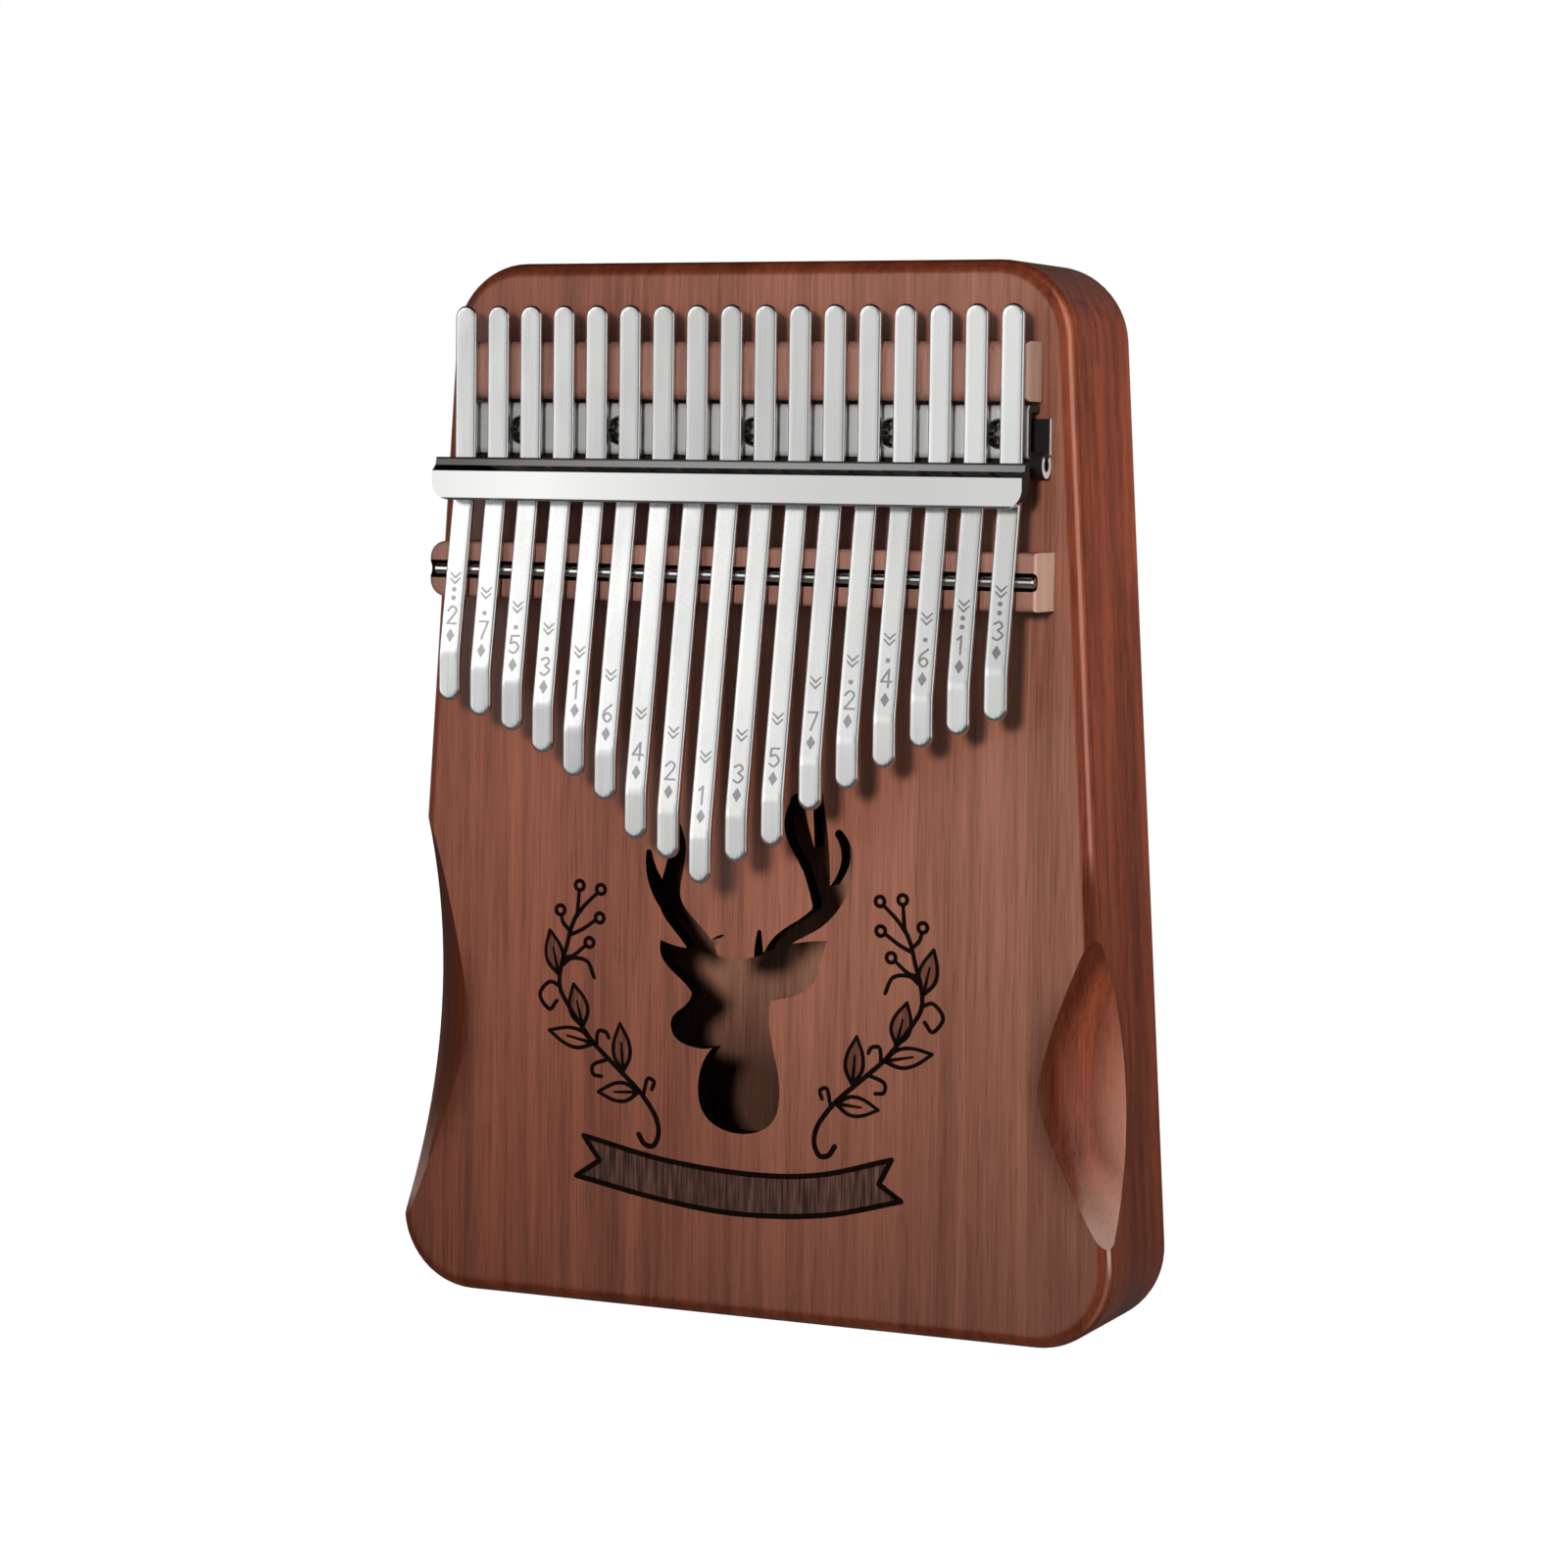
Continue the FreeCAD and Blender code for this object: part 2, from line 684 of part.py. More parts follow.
# ---------------------------------------------------------------- fasteners
def cross_recess(head_radius, depth):
    """The cutter of a cross-shaped drive recess, at the origin, opening along -Y."""
    reach = head_radius * RECESS_REACH
    blade = head_radius * RECESS_BLADE
    bars = [Part.makeBox(reach, depth * 2, blade, Vector(-reach / 2, -depth, -blade / 2)),
            Part.makeBox(blade, depth * 2, reach, Vector(-blade / 2, -depth, -reach / 2))]
    return bars[0].fuse(bars[1])


def pan_screw(head_diameter, head_height, diameter, length, pointed):
    """A domed screw: the underside of its head at the origin, its shank along +Y."""
    radius = head_diameter / 2
    dome = (radius ** 2 + head_height ** 2) / (2 * head_height)
    ball = Part.makeSphere(dome, Vector(0, dome - head_height, 0))
    disc = Part.makeCylinder(radius, head_height, Vector(0, 0, 0), Vector(0, -1, 0))
    head = ball.common(disc)
    recess = cross_recess(radius, head_height * RECESS_DEPTH)
    recess.translate(Vector(0, -head_height, 0))
    point = diameter if pointed else 0
    shank = Part.makeCylinder(diameter / 2, length - point, Vector(0, 0, 0), Vector(0, 1, 0))
    screw = head.cut(recess).fuse(shank)
    if pointed:
        tip = Part.makeCone(diameter / 2, diameter / 12, point,
                            Vector(0, length - point, 0), Vector(0, 1, 0))
        screw = screw.fuse(tip)
    return screw.removeSplitter()


def place_group(label, single, spots):
    """One node that holds the same piece at several places."""
    group = doc.addObject("Part::Feature", label)
    pieces = []
    for spot in spots:
        piece = single.copy()
        piece.translate(spot)
        pieces.append(piece)
    group.Shape = Part.makeCompound(pieces)
    return keep(group, label)


def make_fasteners():
    face = -size("depth") / 2
    screw = pan_screw(size("screw_head_diameter"), size("screw_head_height"),
                      size("screw_diameter"), size("screw_length"), True)
    place_group("bracket_screws", screw,
                [Vector(value_of(gap_middle(gap)), face - size("bracket_level"),
                        size("screw_height")) for gap in SCREW_GAPS])

    block_back = face + size("board_thickness") + size("block_thickness")
    washer = Part.makeCylinder(size("washer_diameter") / 2, size("washer_thickness"),
                               Vector(0, 0, 0), Vector(0, 1, 0))
    bore = Part.makeCylinder(size("bolt_diameter") / 2 + size("hole_clearance"),
                             size("washer_thickness"), Vector(0, 0, 0), Vector(0, 1, 0))
    bolt_spots = [Vector(value_of(gap_middle(gap)), block_back, size("bolt_height"))
                  for gap in BOLT_GAPS]
    place_group("clamp_washers", washer.cut(bore), bolt_spots)

    seat = Vector(0, size("washer_thickness"), 0)
    bolt_end = face - value_of("bolt_bite + %s" % BAR_UNDER_AT_BOLT)
    bolt = pan_screw(size("bolt_head_diameter"), size("bolt_head_height"),
                     size("bolt_diameter"), block_back + seat.y - bolt_end, False)
    bolt.rotate(Vector(0, 0, 0), Vector(0, 0, 1), 180)
    place_group("clamp_bolts", bolt, [spot + seat for spot in bolt_spots])


# ---------------------------------------------------------------- the tines
HINGE_HEIGHT = "(rod_height - hinge_drop)"


def tine_middle_line(height):
    """Level of the middle of the steel on the rising stretch, as a formula."""
    return "(%s - tine_thickness / 2 / %s)" % (tine_front_level(height), TINE_SLANT)


def across_steel(height, side, shift="0"):
    """A corner on the square end of the rising steel, at a height on its middle line.

    Side is +1 on the front of the steel and -1 on its back; shift moves the end along
    the steel, towards the tip.
    """
    half = "(%d * tine_thickness / 2)" % side
    out = "%s + %s * %s + %s * sin(rise_angle * 1deg)" % (
        tine_middle_line(height), half, TINE_SLANT, shift)
    up = "%s + %s * sin(rise_angle * 1deg) - %s * %s" % (height, half, shift, TINE_SLANT)
    return level(out), up


def finish_steel(body, blank, label, is_end):
    """Round the corners of one end of a strip of spring steel."""
    body.Tip = round_edges(body, blank, label + "_end", "end_radius", is_end)


def make_tine_root(label, number):
    """The clamped length: flat over the rear strip, then rising under the bar."""
    body = new_body(label)
    sketch = new_sketch(body, label + "_side", "YZ_Plane",
                        "%d * pitch" % (number - MIDDLE_TINE))
    back_bend = "(bend_height + tine_thickness * tan(rise_angle * 0.5deg))"
    polygon(sketch, [
        (level("tine_level"), "tine_top"), (level("tine_level"), "bend_height"),
        across_steel(HINGE_HEIGHT, 1), across_steel(HINGE_HEIGHT, -1),
        (level(TINE_BACK), back_bend), (level(TINE_BACK), "tine_top")])
    blank = pad(body, sketch, label + "_strip", "tine_width")
    top = size("tine_top")
    finish_steel(body, blank, label,
                 lambda middle, edge: is_along(edge, Vector(0, 1, 0))
                 and abs(middle.z - top) < CLOSE)
    return keep(body, label)


def make_tine_blade(label, number, tip_cell):
    """The free tongue: it rises on from the saddle rod and ends in a flat, round tip."""
    body = new_body(label)
    sketch = new_sketch(body, label + "_side", "YZ_Plane",
                        "%d * pitch" % (number - MIDDLE_TINE))
    tip_bend = "(%s + tip_length)" % tip_cell
    tip_level = tine_front_level(tip_bend)
    back_bend = "(%s + tine_thickness * tan(rise_angle * 0.5deg))" % tip_bend
    polygon(sketch, [
        across_steel(HINGE_HEIGHT, 1, "tip_gap"), (level(tip_level), tip_bend),
        (level(tip_level), tip_cell), (level(tip_level + " - tine_thickness"), tip_cell),
        (level(tip_level + " - tine_thickness"), back_bend),
        across_steel(HINGE_HEIGHT, -1, "tip_gap")])
    blank = pad(body, sketch, label + "_strip", "tine_width")
    bottom = size(tip_cell)
    finish_steel(body, blank, label,
                 lambda middle, edge: is_along(edge, Vector(0, 1, 0))
                 and abs(middle.z - bottom) < CLOSE)
    return keep(body, label)


def make_tines():
    for number in range(1, TINE_COUNT + 1):
        name = "tine_%02d" % number
        make_tine_root(name + "_root", number)
        make_tine_blade(name + "_blade", number, TIP_CELLS[abs(number - MIDDLE_TINE)])


# ---------------------------------------------------------------- build, check and write
def check_document():
    doc.recompute()
    for obj in doc.Objects:
        if "Invalid" in obj.State or "Error" in obj.State:
            raise ValueError("%s failed: %s" % (obj.Label, obj.State))
    for obj in parts:
        if obj.Shape.isNull() or not obj.Shape.isValid() or not obj.Shape.Solids:
            raise ValueError("%s has no valid solid" % obj.Label)


def write_parts():
    os.makedirs("parts", exist_ok=True)
    for obj in parts:
        obj.Shape.exportStep("parts/%s.step" % obj.Label)


make_box()
make_bridge_block()
make_strip("rear_strip", "rear_strip_length", "0", "rear_strip_height", "rear_strip_width",
           "%s - running_clearance" % TINE_BACK)
make_strip("front_strip", "front_strip_length", "front_strip_shift", "rod_height",
           "front_strip_width", "front_strip_level", groove=True)
make_saddle_rod()
make_base_bracket()
make_pressure_bar()
make_fasteners()
make_tines()
check_document()
write_parts()
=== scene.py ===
import math

import bmesh
import bpy
from mathutils import Matrix, Vector


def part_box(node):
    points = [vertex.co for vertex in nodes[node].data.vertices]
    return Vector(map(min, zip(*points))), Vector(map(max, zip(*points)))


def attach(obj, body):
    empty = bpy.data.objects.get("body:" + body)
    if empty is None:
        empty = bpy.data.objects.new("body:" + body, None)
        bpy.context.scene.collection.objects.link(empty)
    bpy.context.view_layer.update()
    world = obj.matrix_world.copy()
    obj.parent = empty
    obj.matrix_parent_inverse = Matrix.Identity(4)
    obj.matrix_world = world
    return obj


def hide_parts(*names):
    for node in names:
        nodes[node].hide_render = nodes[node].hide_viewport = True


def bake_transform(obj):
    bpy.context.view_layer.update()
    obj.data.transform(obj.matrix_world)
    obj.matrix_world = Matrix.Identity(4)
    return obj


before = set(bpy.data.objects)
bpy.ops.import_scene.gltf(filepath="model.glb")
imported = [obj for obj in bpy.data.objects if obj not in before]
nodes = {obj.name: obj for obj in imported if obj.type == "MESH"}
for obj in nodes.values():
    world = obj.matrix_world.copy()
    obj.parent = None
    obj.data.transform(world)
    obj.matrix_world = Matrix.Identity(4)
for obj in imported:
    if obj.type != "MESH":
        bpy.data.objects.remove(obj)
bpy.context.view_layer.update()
scene = bpy.context.scene

MM = 0.001
TINE_COUNT = 17
MIDDLE_TINE = 9
TINE_PITCH = 6.42 * MM
FACE_Y = -15.5 * MM


# ---------------------------------------------------------------- small helpers
def tone(red, green, blue):
    """A colour given as screen values from 0 to 255, in the linear values Blender wants."""
    channels = []
    for value in (red, green, blue):
        share = value / 255
        channels.append(share / 12.92 if share < 0.04045 else ((share + 0.055) / 1.055) ** 2.4)
    return (*channels, 1.0)


def new_object(name, mesh, material, body):
    """Link a finished mesh under a name and let it ride on a CAD body."""
    obj = bpy.data.objects.new(name, mesh)
    obj.data.materials.append(material)
    scene.collection.objects.link(obj)
    if body:
        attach(obj, body)
    return obj


def smooth_mesh(name, corners, faces):
    """A smoothly shaded mesh with its doubled corners merged."""
    mesh = bpy.data.meshes.new(name)
    mesh.from_pydata(corners, [], faces)
    tidy = bmesh.new()
    tidy.from_mesh(mesh)
    bmesh.ops.remove_doubles(tidy, verts=tidy.verts, dist=0.0001 * MM)
    bmesh.ops.recalc_face_normals(tidy, faces=tidy.faces)
    for face in tidy.faces:
        face.smooth = True
    tidy.to_mesh(mesh)
    tidy.free()
    return mesh


def smooth_line(points, steps=8):
    """Points along a smooth curve that passes through every given point."""
    spots = [Vector(point) for point in points]
    padded = [2 * spots[0] - spots[1]] + spots + [2 * spots[-1] - spots[-2]]
    line = []
    for index in range(len(spots) - 1):
        a, b, c, d = padded[index:index + 4]
        for step in range(steps):
            t = step / steps
            line.append(0.5 * (2 * b + (c - a) * t + (2 * a - 5 * b + 4 * c - d) * t ** 2
                               + (3 * b - a - 3 * c + d) * t ** 3))
    return line + [spots[-1]]


def circle(middle, radius, count=12):
    """Corners of a round patch."""
    turns = [2 * math.pi * index / count for index in range(count)]
    return [(middle[0] + radius * math.cos(turn), middle[1] + radius * math.sin(turn))
            for turn in turns]


def shade_by_area(obj):
    """Let the large faces of an object decide how its edges are shaded."""
    shading = obj.modifiers.new("shading", "WEIGHTED_NORMAL")
    shading.keep_sharp = True


def tine_middle(number):
    """X of a tine's middle line."""
    return (number - MIDDLE_TINE) * TINE_PITCH


# ---------------------------------------------------------------- material graphs
class Graph:
    """Builds the node tree of one material around its Principled surface.

    x, y and z are the place in metres. facing is 1 where the surface looks straight ahead
    or back, sideways is 1 where it looks left or right, and upward is 1 where it looks up.
    """

    def __init__(self, name):
        self.material = bpy.data.materials.new(name)
        self.material.use_nodes = True
        self.tree = self.material.node_tree
        self.surface = self.tree.nodes["Principled BSDF"]
        self.place = self.add("ShaderNodeTexCoord").outputs["Object"]
        self.x, self.y, self.z = self.split(self.place)
        normal = self.add("ShaderNodeNewGeometry").outputs["Normal"]
        across, ahead, self.upward = self.split(normal)
        self.sideways = self.math("ABSOLUTE", across, 0.0)
        self.facing = self.math("ABSOLUTE", ahead, 0.0)

    def add(self, kind, **inputs):
        node = self.tree.nodes.new(kind)
        for name, value in inputs.items():
            self.feed(node, name.replace("_", " "), value)
        return node

    def feed(self, node, name, value):
        if isinstance(value, bpy.types.NodeSocket):
            self.tree.links.new(value, node.inputs[name])
        else:
            node.inputs[name].default_value = value

    def set_surface(self, **inputs):
        for name, value in inputs.items():
            self.feed(self.surface, name.replace("_", " "), value)

    def split(self, vector):
        """The X, Y and Z of a vector, each as a value of its own."""
        node = self.add("ShaderNodeSeparateXYZ", Vector=vector)
        return node.outputs["X"], node.outputs["Y"], node.outputs["Z"]

    def noise(self, cells_per_mm, detail=2.0, distortion=0.0):
        """Noise whose cells have their own size along X, Y and Z."""
        per_metre = [count / MM for count in cells_per_mm]
        stretched = self.add("ShaderNodeMapping", Vector=self.place, Scale=per_metre)
        node = self.add("ShaderNodeTexNoise", Vector=stretched.outputs["Vector"], Scale=1.0,
                        Detail=detail, Distortion=distortion)
        return node.outputs["Fac"]

    def spread(self, value, low, high, to_low=0.0, to_high=1.0):
        """Stretch the part of a value between low and high over a new range."""
        node = self.add("ShaderNodeMapRange", Value=value)
        for name, number in (("From Min", low), ("From Max", high),
                             ("To Min", to_low), ("To Max", to_high)):
            node.inputs[name].default_value = number
        return node.outputs["Result"]

    def math(self, operation, first, second):
        node = self.tree.nodes.new("ShaderNodeMath")
        node.operation = operation
        self.feed(node, 0, first)
        self.feed(node, 1, second)
        return node.outputs["Value"]

    def product(self, first, *others):
        """All the values multiplied together."""
        result = first
        for other in others:
            result = self.math("MULTIPLY", result, other)
        return result

    def rest(self, share):
        """What a share leaves of the whole."""
        return self.math("SUBTRACT", 1.0, share)

    def blend(self, share, first, second, kind="MIX"):
        node = self.tree.nodes.new("ShaderNodeMix")
        node.data_type = "RGBA"
        node.blend_type = kind
        self.feed(node, 0, share)
        self.feed(node, 6, first)
        self.feed(node, 7, second)
        return node.outputs[2]

    def bump(self, height, distance, strength):
        node = self.add("ShaderNodeBump", Height=height, Distance=distance, Strength=strength)
        self.set_surface(Normal=node.outputs["Normal"])


# ---------------------------------------------------------------- colours
BLACK = (0.0, 0.0, 0.0, 1.0)
STEEL = tone(238, 238, 237)
PORE_TINT = (0.42, 0.36, 0.34, 1.0)
LEFT_DARK = tone(94, 45, 30)
LEFT_LIGHT = tone(156, 85, 59)
RIGHT_DARK = tone(108, 64, 49)
RIGHT_LIGHT = tone(162, 107, 85)
SIDE_DARK = tone(74, 31, 18)
SIDE_LIGHT = tone(158, 78, 50)
# painted highlight: the pale tone along the rounded front edge
EDGE_HIGHLIGHT_TONE = tone(206, 140, 116)
# painted light: the lit tone of the scoop floors, and the sheen at their foot
SCOOP_LIGHT_TONE = tone(214, 147, 118)
SCOOP_SHEEN_TONE = tone(240, 198, 182)
# painted shade on the box's edges, top and scoop shoulders
EDGE_SHADE_TONE = tone(46, 18, 11)


# ---------------------------------------------------------------- wood
GRAIN_SPAN = (0.36, 0.64)
PORE_SPAN = (0.58, 0.74)
GRAIN_RELIEF = 0.05 * MM
RELIEF_STRENGTH = 0.4


def grain_shade(graph):
    """How light the wood is at each place, from 0 to 1; the grain runs along Z."""
    figure = graph.noise((0.10, 0.07, 0.005), detail=3.0, distortion=0.3)
    bands = graph.noise((0.5, 0.4, 0.012), detail=3.0, distortion=0.2)
    fibres = graph.noise((3.4, 3.4, 0.07), detail=3.0)
    wide = graph.spread(figure, *GRAIN_SPAN, 0.0, 0.36)
    middle = graph.spread(bands, *GRAIN_SPAN, 0.0, 0.32)
    fine = graph.spread(fibres, *GRAIN_SPAN, 0.0, 0.32)
    return graph.math("ADD", graph.math("ADD", wide, middle), fine)


def lay_wood(graph, colour, shade, pore_share, **surface):
    """Lay a colour on the surface, with short dark pores and a raised grain."""
    pores = graph.noise((2.4, 2.4, 0.12), detail=2.0)
    pore = graph.spread(pores, *PORE_SPAN, 0.0, pore_share)
    graph.set_surface(Base_Color=graph.blend(pore, colour, PORE_TINT, "MULTIPLY"), **surface)
    graph.bump(graph.math("SUBTRACT", shade, pore), GRAIN_RELIEF, RELIEF_STRENGTH)


def make_wood(name, dark, light, pore_share, roughness, foot_shade_share=0.0):
    """Fine straight-grained wood, optionally with painted shade that darkens it near the sound
    hole's foot.
    """
    graph = Graph(name)
    shade = grain_shade(graph)
    # painted shade: darker towards the foot of the sound hole
    if foot_shade_share:
        painted_foot_shade = graph.spread(graph.z, 58 * MM, 40 * MM, 0.0, foot_shade_share)
        light = graph.blend(painted_foot_shade, light, BLACK)
        dark = graph.blend(painted_foot_shade, dark, BLACK)
    lay_wood(graph, graph.blend(shade, dark, light), shade, pore_share, Roughness=roughness)
    return graph.material


# ---------------------------------------------------------------- the box's wood
# side, height of the deepest place, its distance from the middle, and the rim's bend
RIGHT_SCOOP_RIM = (1.0, 46.5 * MM, 55.0 * MM, 63.0 * MM)
LEFT_SCOOP_RIM = (-1.0, 51.0 * MM, 54.5 * MM, 105.0 * MM)
# spans of the facing: from the box's side into a scoop, and from its edge onto the front
INTO_SCOOP = (0.42, 0.50)
ONTO_FRONT = (0.955, 0.992)


def plain_box_colour(graph, shade, flat):
    """Mahogany: ruddier towards the player's left, with painted shade low down on the right."""
    rightward = graph.spread(graph.x, -60 * MM, 60 * MM)
    side = graph.blend(shade, SIDE_DARK, SIDE_LIGHT)
    front = graph.blend(shade, graph.blend(rightward, LEFT_DARK, RIGHT_DARK),
                        graph.blend(rightward, LEFT_LIGHT, RIGHT_LIGHT))
    # painted shade: the front darkens low down on the right
    low = graph.spread(graph.z, 70 * MM, 5 * MM, 0.0, 0.26)
    front = graph.blend(graph.product(low, rightward), front, LEFT_DARK)
    return graph.blend(flat, side, front)


def scooped_stretch(graph):
    """1 along the outer parts of the box that hold the scoops, 0 elsewhere."""
    outer = graph.spread(graph.math("ABSOLUTE", graph.x, 0.0), 53 * MM, 55 * MM)
    below_top = graph.spread(graph.z, 86 * MM, 80 * MM)
    above_foot = graph.spread(graph.z, 13 * MM, 17 * MM)
    return graph.product(below_top, outer, above_foot)


def painted_edge_highlight(graph, unscooped):
    """How much painted highlight lies on the middle of the rounded front edge, along the sides.
    """
    return graph.product(graph.spread(graph.facing, 0.54, 0.62),
                         graph.spread(graph.facing, 0.80, 0.72),
                         graph.spread(graph.sideways, 0.50, 0.65, 0.0, 0.36), unscooped)


def painted_scoop_light(graph, scooped, foot):
    """How much painted light lies deep inside the scoops, with a painted sheen most of all at
    their foot.
    """
    deep = graph.spread(graph.y, -9.5 * MM, -2.5 * MM, 0.0, 0.8)
    deeper = graph.math("MAXIMUM", deep, foot)
    lower = graph.spread(graph.z, 68 * MM, 36 * MM, 0.05, 1.0)
    return graph.product(graph.spread(graph.facing, 0.70, 0.64),
                         graph.spread(graph.facing, *INTO_SCOOP),
                         scooped, graph.product(deeper, lower))


def past_scoop_rim(graph, side, height, reach, bend):
    """How far outwards a place lies from the curve where a scoop meets the front."""
    outwards = graph.product(graph.x, side)
    along = graph.math("SUBTRACT", graph.z, height)
    sag = graph.math("DIVIDE", graph.product(along, along), bend)
    return graph.math("SUBTRACT", graph.math("SUBTRACT", outwards, sag), reach)


def painted_scoop_shade(graph, scooped, flat):
    """How much painted shade lies on the scoops' shoulders and on the band of the front next to
    them.
    """
    past_right = past_scoop_rim(graph, *RIGHT_SCOOP_RIM)
    past_left = past_scoop_rim(graph, *LEFT_SCOOP_RIM)
    fading = graph.spread(graph.z, 22 * MM, 44 * MM, 0.2, 0.64)
    hollow = graph.product(graph.spread(graph.facing, 0.998, 0.96),
                           graph.spread(graph.facing, *INTO_SCOOP))
    shoulder = graph.product(scooped, fading, hollow,
                             graph.spread(past_right, 5.2 * MM, 2.6 * MM))
    near = graph.math("MAXIMUM", graph.spread(past_right, -3.6 * MM, 0.2 * MM),
                      graph.spread(past_left, -3.2 * MM, 0.2 * MM))
    beside = graph.product(near, graph.spread(graph.z, 64 * MM, 54 * MM),
                           graph.spread(graph.z, 18 * MM, 34 * MM, 0.0, 0.42), flat)
    return graph.math("ADD", shoulder, beside)


def painted_edge_shade(graph, unscooped):
    """How much painted shade lies along the box's front and rear edges and on its top."""
    front_edge = graph.product(graph.spread(graph.facing, 0.995, 0.96),
                               graph.spread(graph.facing, 0.70, 0.82, 0.0, 0.24), unscooped)
    rear_edge = graph.product(graph.spread(graph.facing, 0.10, 0.22),
                              graph.spread(graph.facing, 0.50, 0.36, 0.0, 0.35))
    top = graph.spread(graph.upward, 0.25, 0.9, 0.0, 0.55)
    return graph.math("ADD", front_edge, graph.math("MAXIMUM", rear_edge, top))


def make_box_wood():
    """Mahogany with a painted highlight along its front edge.

    The right scoop has painted light deep inside and painted shade along its shoulder, the
    left one has painted shade all over; both fade into the front.
    """
    graph = Graph("box_wood")
    shade = grain_shade(graph)
    flat = graph.spread(graph.facing, *ONTO_FRONT)
    scooped = scooped_stretch(graph)
    unscooped = graph.rest(scooped)
    foot = graph.spread(graph.z, 34 * MM, 17 * MM)
    colour = plain_box_colour(graph, shade, flat)
    # painted highlight along the front edge
    colour = graph.blend(painted_edge_highlight(graph, unscooped), colour, EDGE_HIGHLIGHT_TONE)
    # painted light and sheen deep in the scoops
    colour = graph.blend(painted_scoop_light(graph, scooped, foot), colour,
                         graph.blend(foot, SCOOP_LIGHT_TONE, SCOOP_SHEEN_TONE))
    # painted shade on edges, top and scoops; the shaded wood also shines less
    painted_wood_shade = graph.math("ADD", painted_scoop_shade(graph, scooped, flat),
                         painted_edge_shade(graph, unscooped))
    colour = graph.blend(painted_wood_shade, colour, EDGE_SHADE_TONE)
    shine = graph.spread(painted_wood_shade, 0.0, 0.7, 0.5, 0.12)
    lay_wood(graph, colour, shade, 0.45, Roughness=0.4, Specular_IOR_Level=shine)
    return graph.material


# ---------------------------------------------------------------- metal and burnt wood
LIP_CREST = 150.5 * MM
CREST_BAND = 0.25 * MM


def metal_graph(name, colour, roughness, brushed=0.0, metallic=1.0):
    """Polished metal, or metal with fine lines running along Z."""
    graph = Graph(name)
    lines = graph.noise((9.0, 9.0, 0.06), detail=2.0)
    clouds = graph.noise((0.12, 0.12, 0.05), detail=2.0)
    rough = graph.math("ADD", graph.spread(lines, 0.3, 0.7, 0.0, brushed),
                       graph.spread(clouds, 0.3, 0.7, roughness * 0.8, roughness * 1.2))
    graph.set_surface(Base_Color=colour, Metallic=metallic, Roughness=rough)
    return graph


def make_metal(name, colour, roughness, metallic=1.0):
    """Metal of one plain colour."""
    return metal_graph(name, colour, roughness, metallic=metallic).material


def make_tine_steel():
    """Brushed steel with painted shade on its flats, most of all on those parallel to the
    board.
    """
    graph = metal_graph("tine_steel", STEEL, 0.24, brushed=0.08)
    flat = graph.spread(graph.facing, 0.93, 0.975)
    level = graph.spread(graph.facing, 0.990, 0.998)
    on_slope = graph.spread(graph.x, -30 * MM, 52 * MM, 0.0, 0.17)
    on_tip = graph.spread(graph.x, -27 * MM, -2 * MM, 0.36, 0.0)
    on_root = graph.spread(graph.x, 5 * MM, 50 * MM, 0.38, 0.0)
    high = graph.spread(graph.z, 120 * MM, 140 * MM)
    on_level = graph.math("ADD", graph.product(on_root, high),
                          graph.product(on_tip, graph.rest(high)))
    painted_metal_shade = graph.math("ADD", graph.product(on_level, level),
                        graph.product(on_slope, graph.rest(level)))
    graph.set_surface(Base_Color=graph.blend(graph.product(painted_metal_shade, flat), STEEL, BLACK))
    return graph.material


def make_engraved():
    """The grey floor of an engraved line, darker towards the player's right."""
    graph = metal_graph("engraved_mark", STEEL, 0.5, metallic=0.5)
    rightward = graph.spread(graph.x, -50 * MM, 50 * MM)
    graph.set_surface(Base_Color=graph.blend(rightward, tone(204, 201, 202),
                                             tone(136, 133, 134)))
    return graph.material


def make_bar_face():
    """Chrome with painted shade on its reflection: a little in the middle and more at the left
    end.
    """
    graph = metal_graph("bar_face", STEEL, 0.07)
    painted_metal_shade = graph.math("MAXIMUM", graph.spread(graph.x, 0.0, 50 * MM, 0.2, 0.0),
                        graph.spread(graph.x, -58 * MM, -15 * MM, 0.42, 0.0))
    graph.set_surface(Base_Color=graph.blend(painted_metal_shade, STEEL, BLACK))
    return graph.material


def make_bar_lip():
    """The bar's folded lip, with painted reflections: dark at the left, bright at the right,
    black on top.
    """
    graph = metal_graph("bar_lip", STEEL, 0.12)
    bright = graph.blend(graph.spread(graph.x, -50 * MM, 40 * MM),
                         tone(112, 106, 103), tone(236, 235, 234))
    # painted dark reflection along the top of the lip
    crest = graph.spread(graph.z, LIP_CREST - CREST_BAND, LIP_CREST, 0.0, 0.92)
    graph.set_surface(Base_Color=graph.blend(crest, bright, BLACK))
    return graph.material


def make_burnt(name, dark, light):
    """Wood darkened by a hot engraver, still showing streaks of the grain."""
    graph = Graph(name)
    streaks = graph.noise((2.2, 2.2, 0.12), detail=3.0)
    patches = graph.noise((0.5, 0.5, 0.2), detail=2.0)
    shade = graph.product(graph.spread(streaks, 0.35, 0.7),
                          graph.spread(patches, 0.3, 0.7, 0.5, 1.0))
    graph.set_surface(Base_Color=graph.blend(shade, dark, light), Roughness=0.8,
                      Specular_IOR_Level=0.1)
    return graph.material


# ---------------------------------------------------------------- materials
BOX_WOOD = make_box_wood()
STRIP_WOOD = make_wood("strip_wood", tone(112, 72, 60), tone(160, 116, 102), 0.5, 0.5)
STRIP_END = make_wood("strip_end_grain", tone(158, 121, 106), tone(198, 160, 143), 0.3, 0.6)
SHADY_END = make_wood("shady_end_grain", tone(128, 97, 85), tone(162, 130, 116), 0.3, 0.6)
BLOCK_WOOD = make_wood("block_wood", tone(120, 86, 62), tone(160, 122, 92), 0.5, 0.6)
